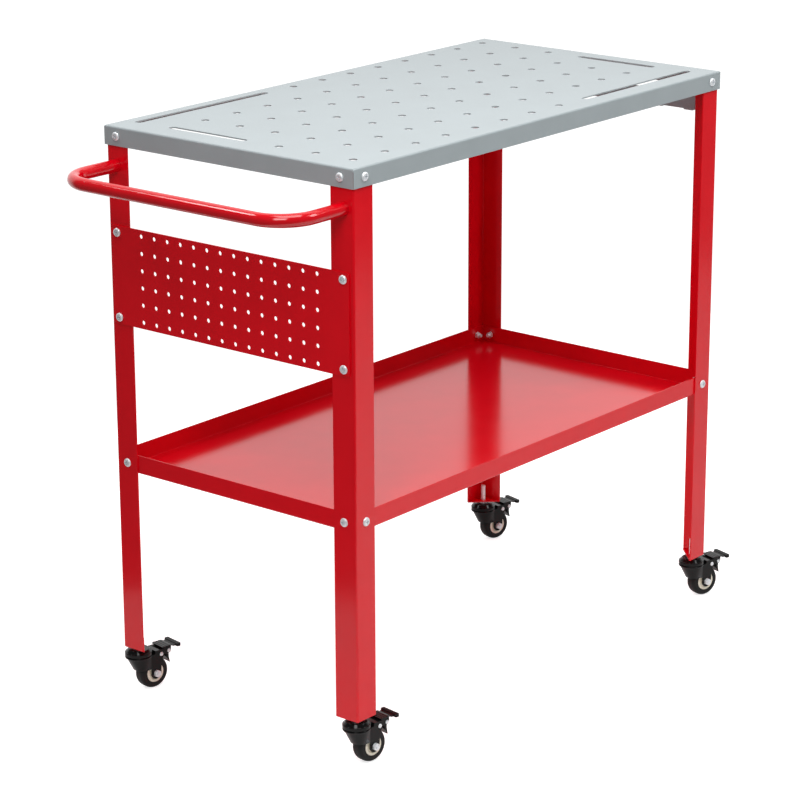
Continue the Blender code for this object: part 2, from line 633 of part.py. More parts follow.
def build_wheel(corner, carrier):
    """Hub, tyre and axle bolt of one caster."""
    place = (CASTER_TRAIL, 0, AXLE_Z)
    across = (0, 1, 0)
    bore = (AXLE_DIAMETER / 2 + TURN_GAP) / math.cos(math.pi / HUB_SIDES)
    boss = WHEEL_WIDTH / 2 + WHEEL_SIDE_GAP - TURN_GAP
    face = WHEEL_WIDTH / 2 - TURN_GAP
    web = face - HUB_RECESS
    hub = HUB_DIAMETER / 2
    rim = hub - HUB_RIM
    half = [(bore, boss), (HUB_BOSS / 2, boss), (HUB_BOSS / 2, web), (rim, web), (rim, face), (hub, face)]
    profile = half + [(radius, -height) for radius, height in reversed(half)] + half[:1]
    add("caster_hub_" + corner, moved(turned(profile, HUB_SIDES), axis=across), CREAM_PLASTIC, carrier, place)
    seat = (hub + SEAT_GAP) / math.cos(math.pi / TYRE_SIDES)
    radius = WHEEL_DIAMETER / 2
    wall = WHEEL_WIDTH / 2
    tread = TYRE_TREAD / 2
    half = [(seat, wall)]
    for lean in (0, math.pi / 4, math.pi / 2):
        half.append((radius - TYRE_CROWN * (1 - math.sin(lean)), tread + (wall - tread) * math.cos(lean)))
    profile = half + [(reach, -height) for reach, height in reversed(half)] + half[:1]
    add("caster_tyre_" + corner, moved(turned(profile, TYRE_SIDES), axis=across), RUBBER, carrier, place)
    bolt, nut = AXLE_DIAMETER / 2, AXLE_NUT_DIAMETER / 2
    inner = CHEEK_HALF + SEAT_GAP
    outer = inner + AXLE_NUT_HEIGHT
    profile = [(0, outer), (nut, outer), (nut, inner), (bolt, inner), (bolt, -inner), (nut, -inner),
               (nut, -outer), (bolt, -outer), (bolt, -outer - AXLE_TAIL), (0, -outer - AXLE_TAIL)]
    add("caster_axle_" + corner, moved(turned(profile, NUT_SIDES), axis=across), ZINC, carrier, place)


def pedal_plate():
    """Tread of the brake pedal: a flat and a dip that runs into the lip."""
    shape = bmesh.new()
    dip = PEDAL_START + PEDAL_FLAT
    stations = [(PEDAL_START, 0), (dip, 0), (dip + PEDAL_DIP_LENGTH / 2, -PEDAL_DIP),
                (dip + PEDAL_DIP_LENGTH + PEDAL_LIP / 2, -PEDAL_LIP_ROUND)]
    rows = []
    for u, rise in stations:
        rows.append([shape.verts.new((u, side * PEDAL_WIDTH / 2, PEDAL_Z + rise)) for side in (-1, 1)])
    for near, far in zip(rows, rows[1:]):
        shape.faces.new((near[0], far[0], far[1], near[1]))
    return shape


def pedal_lip():
    """Wide rounded bar at the pedal's end, where the foot presses."""
    near = PEDAL_START + PEDAL_FLAT + PEDAL_DIP_LENGTH
    far = near + PEDAL_LIP
    top = PEDAL_Z
    low = PEDAL_Z - PEDAL_LIP_HEIGHT
    turn = PEDAL_LIP_ROUND
    outline = [(near, low + turn), (near + turn, low), (far - turn, low), (far, low + turn),
               (far, top - turn), (far - turn, top), (near + turn, top), (near, top - turn)]
    side = PEDAL_LIP_WIDTH / 2
    return prism([(u, -side, z) for u, z in outline], (0, 2 * side, 0))


def build_pedal(corner, carrier):
    """Brake pedal: tread, two cheeks on the pivot, the link rivet and the pointed shoe behind the wheel."""
    name = "brake_pedal_" + corner
    pivot = Vector((PIVOT_OUT, 0, PIVOT_Z))
    item = add(name, moved(pedal_plate(), -pivot), BLACK_STEEL, carrier, pivot, orient=False)
    thicken(item, PEDAL_SHEET)
    outer = CHEEK_HALF - FORK_SHEET - PEDAL_CHEEK_GAP
    inner = outer - PEDAL_CHEEK_SHEET
    rise = FORK_TAIL + FORK_SADDLE_GAP
    under = PEDAL_Z - PEDAL_SHEET / 2
    outline = [(rise, under), (LINK_OUT + PEDAL_EAR, under)]
    outline += arc((LINK_OUT, LINK_Z), PEDAL_EAR, 0, -90, 2)
    outline += arc((PIVOT_OUT, PIVOT_Z), PEDAL_EAR, -90, -270, 4)
    outline += [(rise, PIVOT_Z + PEDAL_EAR)]
    cheeks = [prism([(u, low, z) for u, z in outline], (0, PEDAL_CHEEK_SHEET, 0)) for low in (-outer, inner)]
    combine(item, name + "_cheeks", gathered(cheeks), 'UNION', carrier)
    tip = (PIVOT_OUT + SHOE_REACH, PIVOT_Z - SHOE_DEPTH)
    root = LINK_Z - RIVET_DIAMETER / 2
    throat = root - SHOE_LENGTH
    shoe = [(LINK_OUT - SHOE_WIDTH, root), (LINK_OUT, root), (LINK_OUT, throat), tip,
            (LINK_OUT - SHOE_WIDTH, throat)]
    half = (outer + inner) / 2
    shoe_block = prism([(u, -half, z) for u, z in shoe], (0, 2 * half, 0))
    combine(item, name + "_shoe", gathered([shoe_block, pedal_lip()]), 'UNION', carrier)
    combine(item, name + "_link", moved(rivet(outer), (LINK_OUT, 0, LINK_Z)), 'UNION', carrier)
    hole = rod(pivot, (0, 1, 0), RIVET_DIAMETER + 2 * TURN_GAP, 3 * CHEEK_HALF, BORE_SIDES)
    combine(item, name + "_cutter", hole, 'DIFFERENCE', carrier)


def build_caster(corner, parent):
    """One braked swivel caster, turned to its resting direction."""
    sx, sy = CORNERS[corner]
    place = (sx * (LEG_CORNER_X - STEM_INSET), sy * (LEG_CORNER_Y - STEM_INSET), 0)
    build_stem(corner, parent, place)
    carrier = empty("swivel_" + corner, parent, place, math.radians(CASTER_YAWS[corner]))
    build_fork(corner, carrier)
    build_wheel(corner, carrier)
    build_pedal(corner, carrier)


def centre_outline(root):
    """Stand the table on the origin: the middle of its outline over z = 0."""
    bpy.context.view_layer.update()
    graph = bpy.context.evaluated_depsgraph_get()
    places = []
    for item in bpy.context.scene.objects:
        if item.type in {'MESH', 'CURVE'} and not item.hide_render:
            solid = item.evaluated_get(graph)
            places += [item.matrix_world @ vert.co for vert in solid.to_mesh().vertices]
            solid.to_mesh_clear()
    for axis in (0, 1):
        values = [place[axis] for place in places]
        root.location[axis] = -(min(values) + max(values)) / 2


for old in list(bpy.data.objects):
    bpy.data.objects.remove(old, do_unlink=True)

GREY_PAINT = finish("Grey paint", (0.60, 0.64, 0.65), 0.45)
RED_PAINT = finish("Red paint", (0.50, 0.006, 0.016), 0.32)
ZINC = finish("Zinc", (0.62, 0.64, 0.66), 0.35, 1.0)
BLACK_STEEL = finish("Black steel", (0.012, 0.012, 0.013), 0.4)
RUBBER = finish("Rubber", (0.016, 0.016, 0.017), 0.7)
CREAM_PLASTIC = finish("Cream plastic", (0.80, 0.70, 0.52), 0.5)

table = empty("table")
build_worktop(table)
for number, corner_name in enumerate(CORNERS):
    build_leg(corner_name, number, table)
build_tray(table)
build_panel(table)
build_handle(table)
build_rail(table)
build_screws(table)
for corner_name in CORNERS:
    build_caster(corner_name, table)
centre_outline(table)
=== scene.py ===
"""Mobile welding table: the finished look of every piece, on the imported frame."""
import json
import math

import bmesh
import bpy
from mathutils import Matrix, Vector


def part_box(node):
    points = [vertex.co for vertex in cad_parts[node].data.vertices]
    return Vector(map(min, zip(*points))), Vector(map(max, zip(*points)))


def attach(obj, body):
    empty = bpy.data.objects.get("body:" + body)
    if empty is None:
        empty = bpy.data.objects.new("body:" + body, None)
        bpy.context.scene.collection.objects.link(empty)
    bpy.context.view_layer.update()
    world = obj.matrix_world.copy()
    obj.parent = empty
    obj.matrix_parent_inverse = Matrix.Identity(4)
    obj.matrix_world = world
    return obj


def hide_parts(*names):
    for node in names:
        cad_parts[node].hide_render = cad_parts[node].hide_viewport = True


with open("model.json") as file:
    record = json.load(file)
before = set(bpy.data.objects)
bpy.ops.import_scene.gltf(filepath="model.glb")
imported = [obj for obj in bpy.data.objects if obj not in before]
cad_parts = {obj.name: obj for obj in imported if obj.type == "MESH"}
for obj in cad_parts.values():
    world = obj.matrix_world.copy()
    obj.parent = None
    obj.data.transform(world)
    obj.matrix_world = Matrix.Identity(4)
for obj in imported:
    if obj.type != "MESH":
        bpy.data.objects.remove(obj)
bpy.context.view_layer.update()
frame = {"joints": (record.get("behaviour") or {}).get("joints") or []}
bpy.ops.object.select_all(action='DESELECT')


# The studio. A long lens looks down on the front and the handle end, over a round paper floor that glows a
# little. One large lamp hangs overhead, two smaller ones light the front and the handle end, and a small one
# stands behind at the left. The room is bright behind the table and dim elsewhere.
CAMERA_FROM_TOP = Vector((-3.27796, -2.63973, 0.83782))
CAMERA_TILT = (math.radians(72.726), math.radians(0.212), math.radians(-50.683))
CAMERA_LENS = 129.57
CAMERA_SENSOR = 36.0
FLOOR_RADIUS = 1.8
FLOOR_SIDES = 96
FLOOR_MIDDLE = (0.7, -0.6, 0.0)
FLOOR_ALBEDO = 0.80
FLOOR_LIFT = 0.60
FLOOR_GLOW = 0.15
BACKDROP_WAY = (0.77, 0.63, 0.0)
BACKDROP_LEVEL = 1.15
BACKDROP_EDGE = (0.25, 0.60)
ROOM_LEVEL = 0.14
LAMPS = [
    {"way": (-0.12, -0.18, 1.0), "distance": 3.2, "size": 1.6, "power": 42.0},
    {"way": (0.28, -0.54, 0.79), "distance": 2.6, "size": 0.8, "power": 14.0},
    {"way": (-0.60, -0.35, 0.72), "distance": 2.6, "size": 0.8, "power": 15.0},
    {"way": (-0.36, 0.45, 0.82), "distance": 2.97, "size": 0.45, "power": 8.0},
]

top_low, top_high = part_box("worktop")
top_centre = Vector(((top_low.x + top_high.x) / 2, (top_low.y + top_high.y) / 2, top_high.z))
bpy.ops.object.camera_add(location=top_centre + CAMERA_FROM_TOP, rotation=CAMERA_TILT)
camera = bpy.context.object
camera.data.lens = CAMERA_LENS
camera.data.sensor_width = CAMERA_SENSOR
bpy.context.scene.camera = camera
bpy.context.scene.view_settings.view_transform = 'Standard'

bpy.ops.mesh.primitive_circle_add(vertices=FLOOR_SIDES, radius=FLOOR_RADIUS, fill_type='NGON',
                                  location=FLOOR_MIDDLE)
floor = bpy.context.object
floor.name = "studio_floor"
paper = bpy.data.materials.new("Studio paper")
paper.use_nodes = True
tree = paper.node_tree
tree.nodes.clear()
matt = tree.nodes.new('ShaderNodeBsdfDiffuse')
matt.inputs["Color"].default_value = (FLOOR_ALBEDO, FLOOR_ALBEDO, FLOOR_ALBEDO, 1.0)
seen = tree.nodes.new('ShaderNodeLightPath')
lift = tree.nodes.new('ShaderNodeMath')
lift.operation = 'MULTIPLY_ADD'
lift.inputs[1].default_value = FLOOR_LIFT
lift.inputs[2].default_value = FLOOR_GLOW
tree.links.new(seen.outputs["Is Camera Ray"], lift.inputs[0])
glow = tree.nodes.new('ShaderNodeEmission')
tree.links.new(lift.outputs[0], glow.inputs["Strength"])
both = tree.nodes.new('ShaderNodeAddShader')
tree.links.new(matt.outputs[0], both.inputs[0])
tree.links.new(glow.outputs[0], both.inputs[1])
out = tree.nodes.new('ShaderNodeOutputMaterial')
tree.links.new(both.outputs[0], out.inputs["Surface"])
floor.data.materials.append(paper)

world = bpy.data.worlds.new("Studio")
bpy.context.scene.world = world
world.use_nodes = True
tree = world.node_tree
tree.nodes.clear()
place = tree.nodes.new('ShaderNodeTexCoord')
behind = tree.nodes.new('ShaderNodeVectorMath')
behind.operation = 'DOT_PRODUCT'
behind.inputs[1].default_value = BACKDROP_WAY
tree.links.new(place.outputs["Generated"], behind.inputs[0])
fade = tree.nodes.new('ShaderNodeMapRange')
fade.interpolation_type = 'SMOOTHSTEP'
fade.inputs["From Min"].default_value = BACKDROP_EDGE[0]
fade.inputs["From Max"].default_value = BACKDROP_EDGE[1]
fade.inputs["To Min"].default_value = ROOM_LEVEL
fade.inputs["To Max"].default_value = BACKDROP_LEVEL
tree.links.new(behind.outputs["Value"], fade.inputs["Value"])
seen = tree.nodes.new('ShaderNodeLightPath')
level = tree.nodes.new('ShaderNodeMath')
level.operation = 'MAXIMUM'
tree.links.new(seen.outputs["Is Camera Ray"], level.inputs[0])
tree.links.new(fade.outputs["Result"], level.inputs[1])
sky = tree.nodes.new('ShaderNodeBackground')
sky.inputs["Color"].default_value = (1.0, 1.0, 1.0, 1.0)
tree.links.new(level.outputs[0], sky.inputs["Strength"])
out = tree.nodes.new('ShaderNodeOutputWorld')
tree.links.new(sky.outputs[0], out.inputs["Surface"])

for lamp in LAMPS:
    aim = Vector(lamp["way"]).normalized()
    tilt = aim.to_track_quat('Z', 'Y').to_euler()
    bpy.ops.object.light_add(type='AREA', location=aim * lamp["distance"], rotation=tilt)
    bpy.context.object.data.size = lamp["size"]
    bpy.context.object.data.energy = lamp["power"]


# The worktop. One sheet of steel, folded down on its four sides, with a grid of punched clamp holes and a
# long and a short slot at two opposite corners. It is powder coated light grey, and at each corner the folds
# meet in an open seam.
TOP_SHEET = 0.002
TOP_BEND = 0.003
TOP_BEND_STEPS = 6
EDGE_ROUND = 0.0004
EDGE_STEPS = 2
PUNCHED_ANGLE = 40
HOLE_RADIUS = 0.006
HOLE_SIDES = 32
HOLE_PITCH = 0.0665
HOLE_COLUMNS = 13
HOLE_ROWS = 7
GRID_SHIFT = (0.004, 0.006)
LONG_SLOT_STEPS = 4
SHORT_SLOT_STEPS = 2
PUNCH_DEPTH = 8 * TOP_SHEET
SEAM_WIDTH = 0.0005
SEAM_REACH = 4 * TOP_SHEET
FACING = 0.9
TOUCH = 1e-5
SMOOTH_ANGLE = 32
FACE_WEIGHT = 80
GREY = (0.356, 0.402, 0.417)
GREY_ROUGHNESS = 0.36
GREY_PEEL = 0.08
SHEET_SHINE = 0.40
MOTTLE_SCALE = 18.0
MOTTLE_DETAIL = 4.0
MOTTLE_SPAN = (0.30, 0.70)
MOTTLE_SPREAD = 0.03
GLOSS_SPREAD = 0.03
PEEL_SCALE = 650.0
PEEL_DETAIL = 1.0
PEEL_DEPTH = 0.0003


def only(piece):
    """Make a piece the one that is selected and active."""
    bpy.ops.object.select_all(action='DESELECT')
    piece.select_set(True)
    bpy.context.view_layer.objects.active = piece


def select(piece, kind, wanted):
    """Go into edit mode with only the wanted vertices, edges or faces selected."""
    bpy.context.view_layer.objects.active = piece
    bpy.ops.object.mode_set(mode='EDIT')
    bpy.ops.mesh.select_mode(type=kind)
    bpy.ops.mesh.select_all(action='DESELECT')
    shape = bmesh.from_edit_mesh(piece.data)
    group = {'VERT': shape.verts, 'EDGE': shape.edges, 'FACE': shape.faces}[kind]
    for element in list(group):
        if wanted(element):
            element.select_set(True)
    bmesh.update_edit_mesh(piece.data)


def at_both(edge, test):
    """True if both ends of an edge pass a test on their place."""
    return all(test(vert.co) for vert in edge.verts)


def leave_edit():
    """Go back to object mode."""
    bpy.ops.object.mode_set(mode='OBJECT')


def work(piece, kind, **settings):
    """Add a modifier with these settings and apply it."""
    step = piece.modifiers.new(kind.title(), kind)
    for setting, value in settings.items():
        setattr(step, setting, value)
    bpy.context.view_layer.objects.active = piece
    bpy.ops.object.modifier_apply(modifier=step.name)


def thicken(piece, sheet):
    """Give a folded surface the thickness of its sheet, inwards."""
    work(piece, 'SOLIDIFY', thickness=sheet, offset=-1.0, use_even_offset=True)


def soften(piece, width, steps, angle):
    """Round every edge that turns by more than an angle in degrees."""
    work(piece, 'BEVEL', width=width, segments=steps, limit_method='ANGLE', angle_limit=math.radians(angle))


def cut(piece, tool, operation):
    """Cut a piece with a tool and throw the tool away."""
    work(piece, 'BOOLEAN', object=tool, operation=operation, solver='EXACT')
    bpy.data.objects.remove(tool)


def from_points(name, points, edges, faces):
    """A new piece from its points, selected and active."""
    mesh = bpy.data.meshes.new(name)
    mesh.from_pydata(points, edges, faces)
    piece = bpy.data.objects.new(name, mesh)
    bpy.context.collection.objects.link(piece)
    only(piece)
    return piece


def box_of(name, low, high):
    """A new box between two corners, with its place in its mesh."""
    middle = (Vector(low) + Vector(high)) / 2
    bpy.ops.mesh.primitive_cube_add(size=1.0, location=middle, scale=Vector(high) - Vector(low))
    piece = bpy.context.object
    piece.name = name
    piece.data.name = name
    bpy.ops.object.transform_apply(location=True, rotation=True, scale=True)
    return piece


def settle(piece, finish, body, slot, *nodes):
    """Leave a finished piece at the origin, with its finish, on its body and in place of its solids."""
    only(piece)
    bpy.ops.object.transform_apply(location=True, rotation=True, scale=True)
    bpy.ops.object.shade_smooth_by_angle(angle=math.radians(SMOOTH_ANGLE))
    work(piece, 'WEIGHTED_NORMAL', keep_sharp=True, weight=FACE_WEIGHT)
    piece.data.materials.clear()
    piece.data.materials.append(finish)
    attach(piece, body)
    if nodes:
        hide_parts(*nodes)


def noise_of(material, name, scale, detail):
    """A noise pattern on a piece's own coordinates."""
    place = material.node_tree.nodes.new('ShaderNodeTexCoord')
    pattern = material.node_tree.nodes.new('ShaderNodeTexNoise')
    pattern.name = name
    pattern.inputs["Scale"].default_value = scale
    pattern.inputs["Detail"].default_value = detail
    material.node_tree.links.new(place.outputs["Object"], pattern.inputs["Vector"])
    return pattern


def uneven(name, scale, detail, span, dark, light, gloss):
    """A material whose colour and roughness follow one noise pattern, its mottle."""
    material = bpy.data.materials.new(name)
    material.use_nodes = True
    nodes = material.node_tree.nodes
    links = material.node_tree.links
    shader = nodes["Principled BSDF"]
    mottle = noise_of(material, "Mottle", scale, detail)
    shade = nodes.new('ShaderNodeValToRGB')
    for element, position, colour in zip(shade.color_ramp.elements, span, (dark, light)):
        element.position = position
        element.color = (*colour, 1.0)
    links.new(mottle.outputs["Fac"], shade.inputs["Fac"])
    links.new(shade.outputs["Color"], shader.inputs["Base Color"])
    sheen = nodes.new('ShaderNodeMapRange')
    sheen.inputs["To Min"].default_value = gloss[0]
    sheen.inputs["To Max"].default_value = gloss[1]
    links.new(mottle.outputs["Fac"], sheen.inputs["Value"])
    links.new(sheen.outputs["Result"], shader.inputs["Roughness"])
    return material


def relief(material, pattern, strength, depth):
    """Let a pattern stand out of a material's surface as fine bumps."""
    nodes = material.node_tree.nodes
    bump = nodes.new('ShaderNodeBump')
    bump.inputs["Strength"].default_value = strength
    bump.inputs["Distance"].default_value = depth
    material.node_tree.links.new(pattern.outputs["Fac"], bump.inputs["Height"])
    material.node_tree.links.new(bump.outputs["Normal"], nodes["Principled BSDF"].inputs["Normal"])


def powder_coat(name, colour, roughness, peel, shine):
    """Baked powder: an even colour with a slight mottle and the fine orange peel of the cured coat."""
    dark = [part * (1 - MOTTLE_SPREAD) for part in colour]
    light = [part * (1 + MOTTLE_SPREAD) for part in colour]
    gloss = (roughness - GLOSS_SPREAD, roughness + GLOSS_SPREAD)
    material = uneven(name, MOTTLE_SCALE, MOTTLE_DETAIL, MOTTLE_SPAN, dark, light, gloss)
    material.node_tree.nodes["Principled BSDF"].inputs["Specular IOR Level"].default_value = shine
    relief(material, noise_of(material, "Peel", PEEL_SCALE, PEEL_DETAIL), peel, PEEL_DEPTH)
    return material


def grid_spot(column, row):
    """Centre of a clamp hole, counted from the handle end and from the front."""
    return Vector((top_centre.x + GRID_SHIFT[0] + (column - (HOLE_COLUMNS - 1) / 2) * HOLE_PITCH,
                   top_centre.y + GRID_SHIFT[1] + (row - (HOLE_ROWS - 1) / 2) * HOLE_PITCH,
                   top_high.z))


grey_coat = powder_coat("Grey powder coat", GREY, GREY_ROUGHNESS, GREY_PEEL, SHEET_SHINE)
worktop = box_of("worktop_sheet", top_low, top_high)
select(worktop, 'FACE', lambda face: face.normal.z < -FACING)
bpy.ops.mesh.delete(type='FACE')
select(worktop, 'EDGE', lambda edge: at_both(edge, lambda spot: spot.z > top_high.z - TOP_SHEET))
bpy.ops.mesh.bevel(offset=TOP_BEND, segments=TOP_BEND_STEPS, affect='EDGES')
leave_edit()
thicken(worktop, TOP_SHEET)

last_column = HOLE_COLUMNS - 1
last_row = HOLE_ROWS - 1
slots = [((0, last_row), (LONG_SLOT_STEPS, last_row)),
         ((0, last_row - 1 - SHORT_SLOT_STEPS), (0, last_row - 1)),
         ((last_column - LONG_SLOT_STEPS, 0), (last_column, 0)),
         ((last_column, 1), (last_column, 1 + SHORT_SLOT_STEPS))]
punch = from_points("punch", [], [], [])
bpy.ops.object.mode_set(mode='EDIT')
taken = set()
for start, stop in slots:
    taken |= {(i, j) for i in range(start[0], stop[0] + 1) for j in range(start[1], stop[1] + 1)}
    spot = grid_spot(*start)
    run = grid_spot(*stop) - spot
    bpy.ops.mesh.primitive_cylinder_add(vertices=HOLE_SIDES, radius=HOLE_RADIUS, depth=PUNCH_DEPTH,
                                        location=spot)
    shape = bmesh.from_edit_mesh(punch.data)
    for vert in shape.verts:
        ahead = (vert.co - spot).dot(run) > -TOUCH
        vert.select_set(vert.select and ahead)
    shape.select_flush_mode()
    bpy.ops.mesh.select_mode(type='VERT')
    bpy.ops.transform.translate(value=run)
for column in range(HOLE_COLUMNS):
    for row in range(HOLE_ROWS):
        if (column, row) not in taken:
            bpy.ops.mesh.primitive_cylinder_add(vertices=HOLE_SIDES, radius=HOLE_RADIUS, depth=PUNCH_DEPTH,
                                                location=grid_spot(column, row))
seam_height = top_high.z - top_low.z - TOP_BEND
for x in (top_low.x, top_high.x):
    for y in (top_low.y, top_high.y):
        inward = math.atan2(top_centre.y - y, top_centre.x - x)
        turn = math.copysign(math.pi / 4, math.sin(2 * inward))
        spot = (x, y, top_low.z + seam_height / 2 - SEAM_WIDTH)
        bpy.ops.mesh.primitive_cube_add(size=1.0, location=spot, rotation=(0, 0, turn),
                                        scale=(SEAM_REACH, SEAM_WIDTH, seam_height))
leave_edit()
cut(worktop, punch, 'DIFFERENCE')
soften(worktop, EDGE_ROUND / 2, EDGE_STEPS, PUNCHED_ANGLE)
settle(worktop, grey_coat, "frame", "grey_paint", "worktop")


# The legs. Four lengths of bent steel angle in red powder coat, each closed at its foot by a plate that takes
# the caster's stem. They stand inside the worktop's flange and are screwed to it, with their open side
# towards the middle of the table.
LEG_SHEET = 0.002
LEG_BEND = 0.003
LEG_BEND_STEPS = 6
FOOT_BEND = 0.0012
FOOT_BEND_STEPS = 3
FOOT_LEDGE = 0.001
FOLDED_ANGLE = 50
RED = (0.77, 0.001, 0.009)
RED_ROUGHNESS = 0.16
RED_PEEL = 0.05
CORNERS = {"front_left": (0, 0), "front_right": (1, 0), "back_right": (1, 1), "back_left": (0, 1)}


def copy_of(piece, name):
    """A copy with its own mesh."""
    twin = piece.copy()
    twin.data = piece.data.copy()
    twin.name = name
    twin.data.name = name
    bpy.context.collection.objects.link(twin)
    return twin


red_coat = powder_coat("Red powder coat", RED, RED_ROUGHNESS, RED_PEEL, SHEET_SHINE)
leg_low, leg_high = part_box("leg_front_left")
leg_size = leg_high - leg_low
leg = box_of("leg", (0, 0, 0), leg_size)
select(leg, 'FACE', lambda face: max(face.normal) > FACING)
bpy.ops.mesh.delete(type='FACE')
select(leg, 'EDGE', lambda edge: at_both(edge, lambda spot: max(spot.x, spot.y) < LEG_SHEET))
bpy.ops.mesh.bevel(offset=LEG_BEND, segments=LEG_BEND_STEPS, affect='EDGES')
select(leg, 'EDGE', lambda edge: len(edge.link_faces) == 2 and at_both(edge, lambda spot: spot.z < LEG_SHEET))
bpy.ops.mesh.bevel(offset=FOOT_BEND, segments=FOOT_BEND_STEPS, affect='EDGES')
leave_edit()
thicken(leg, LEG_SHEET)
trim = box_of("trim", (0, -leg_size.x, -LEG_SHEET), (leg_size.x, leg_size.x, 2 * LEG_SHEET))
diagonal = (leg_size.x + LEG_SHEET + FOOT_LEDGE) / 2
trim.rotation_euler.z = math.pi / 4
trim.location = (diagonal, diagonal, 0)
bpy.ops.object.transform_apply(location=True, rotation=True, scale=True)
cut(leg, trim, 'DIFFERENCE')
soften(leg, EDGE_ROUND, EDGE_STEPS, FOLDED_ANGLE)
for quarter, (corner, (right, back)) in enumerate(CORNERS.items()):
    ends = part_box("leg_" + corner)
    angle = copy_of(leg, "leg_angle_" + corner)
    angle.location = (ends[right].x, ends[back].y, ends[0].z)
    angle.rotation_euler.z = quarter * math.pi / 2
    settle(angle, red_coat, "frame", "red_paint", "leg_" + corner)
bpy.data.objects.remove(leg)


# The tray. A shallow pan of thinner steel sheet with the same red coat, folded up on its four sides. It lies
# between the legs and is held by two screws at each corner.
TRAY_SHEET = 0.0015
TRAY_BEND = 0.0025
TRAY_BEND_STEPS = 5

tray_low, tray_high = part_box("tray")
tray = box_of("tray_pan", tray_low, tray_high)
select(tray, 'FACE', lambda face: face.normal.z > FACING)
bpy.ops.mesh.delete(type='FACE')
select(tray, 'EDGE', lambda edge: len(edge.link_faces) == 2)
bpy.ops.mesh.bevel(offset=TRAY_BEND, segments=TRAY_BEND_STEPS, affect='EDGES')
leave_edit()
thicken(tray, TRAY_SHEET)
soften(tray, EDGE_ROUND, EDGE_STEPS, FOLDED_ANGLE)
settle(tray, red_coat, "frame", "red_paint", "tray")


# The peg panel. A flat steel sheet with the same red coat and six rows of punched peg holes. Four screws hold
# it across the two legs of the handle end.
PEG_RADIUS = 0.0031
PEG_SIDES = 24
PEG_PITCH = 0.0254
PEG_COLUMNS = 14
PEG_ROWS = 6
PANEL_CORNER = 0.003
PANEL_CORNER_STEPS = 4

panel_low, panel_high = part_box("peg_panel")
panel_middle = (panel_low + panel_high) / 2
panel_sheet = panel_high.x - panel_low.x
panel = box_of("peg_panel_sheet", panel_low, panel_high)
select(panel, 'EDGE', lambda edge: abs(edge.verts[0].co.x - edge.verts[1].co.x) > panel_sheet / 2)
bpy.ops.mesh.bevel(offset=PANEL_CORNER, segments=PANEL_CORNER_STEPS, affect='EDGES')
leave_edit()
punch = from_points("punch", [], [], [])
bpy.ops.object.mode_set(mode='EDIT')
for column in range(PEG_COLUMNS):
    for row in range(PEG_ROWS):
        aside = (column - (PEG_COLUMNS - 1) / 2) * PEG_PITCH
        above = (row - (PEG_ROWS - 1) / 2) * PEG_PITCH
        spot = panel_middle + Vector((0, aside, above))
        bpy.ops.mesh.primitive_cylinder_add(vertices=PEG_SIDES, radius=PEG_RADIUS, depth=PUNCH_DEPTH,
                                            location=spot, rotation=(0, math.pi / 2, 0))
leave_edit()
cut(panel, punch, 'DIFFERENCE')
soften(panel, EDGE_ROUND / 2, EDGE_STEPS, PUNCHED_ANGLE)
settle(panel, red_coat, "frame", "red_paint", "peg_panel")


# The push handle. A steel tube with two round bends, whose ends butt on the legs of the handle end and are
# screwed to them from inside. Its red is the sheet pieces' red made darker, as painted shade for a handle
# that the lamps light too brightly, and its coat is glossier than on the sheet pieces.
HANDLE_SIDES = 32
HANDLE_BEND = 0.054
HANDLE_BEND_STEPS = 18
# Painted shade: the red coat darkened for the handle alone, because the lamps light it too brightly.
HANDLE_RED_PAINTED_SHADE = (0.64, 0.0008, 0.0075)
HANDLE_ROUGHNESS = 0.12
HANDLE_PEEL = 0.03
HANDLE_SHINE = 0.60


def pull(way):
    """Extrude what is selected straight along a way."""
    bpy.ops.mesh.extrude_region_move(TRANSFORM_OT_translate={"value": way})


def curl(centre, axis, steps):
    """Extrude what is selected round a quarter turn."""
    bpy.ops.mesh.spin(steps=steps, angle=math.pi / 2, center=centre, axis=axis)


# The handle's material carries the darkened red, which is painted shade and not a different paint.
handle_coat_painted_shade = powder_coat("Handle powder coat", HANDLE_RED_PAINTED_SHADE, HANDLE_ROUGHNESS, HANDLE_PEEL, HANDLE_SHINE)
handle_low, handle_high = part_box("handle")
tube = (handle_high.z - handle_low.z) / 2
handle_z = (handle_high.z + handle_low.z) / 2
bend_x = handle_low.x + tube + HANDLE_BEND
front_y = handle_low.y + tube
back_y = handle_high.y - tube
bpy.ops.mesh.primitive_circle_add(vertices=HANDLE_SIDES, radius=tube, fill_type='NGON',
                                  location=(handle_high.x, front_y, handle_z), rotation=(0, math.pi / 2, 0))
handle = bpy.context.object
handle.name = "push_handle"
bpy.ops.object.transform_apply(location=True, rotation=True, scale=True)
bpy.ops.object.mode_set(mode='EDIT')
bpy.ops.mesh.select_all(action='SELECT')
pull((bend_x - handle_high.x, 0, 0))
curl((bend_x, front_y + HANDLE_BEND, handle_z), (0, 0, 1), HANDLE_BEND_STEPS)
pull((0, back_y - front_y - 2 * HANDLE_BEND, 0))
curl((bend_x, back_y - HANDLE_BEND, handle_z), (0, 0, 1), HANDLE_BEND_STEPS)
pull((handle_high.x - bend_x, 0, 0))
bpy.ops.mesh.select_all(action='SELECT')
bpy.ops.mesh.normals_make_consistent(inside=False)
leave_edit()
settle(handle, handle_coat_painted_shade, "frame", "red_paint", "handle")


# The hanger rail. A strip of steel sheet in the worktop's grey, with seven hooks bent out of its lower edge.
# Two screws hold it across the far legs, under the end of the worktop.
RAIL_SHEET = 0.002
HOOK_COUNT = 7
HOOK_PITCH = 0.058
HOOK_WIDTH = 0.016
HOOK_BEND = 0.0022
HOOK_BEND_STEPS = 5
HOOK_REACH = 0.018
HOOK_LIP = 0.007

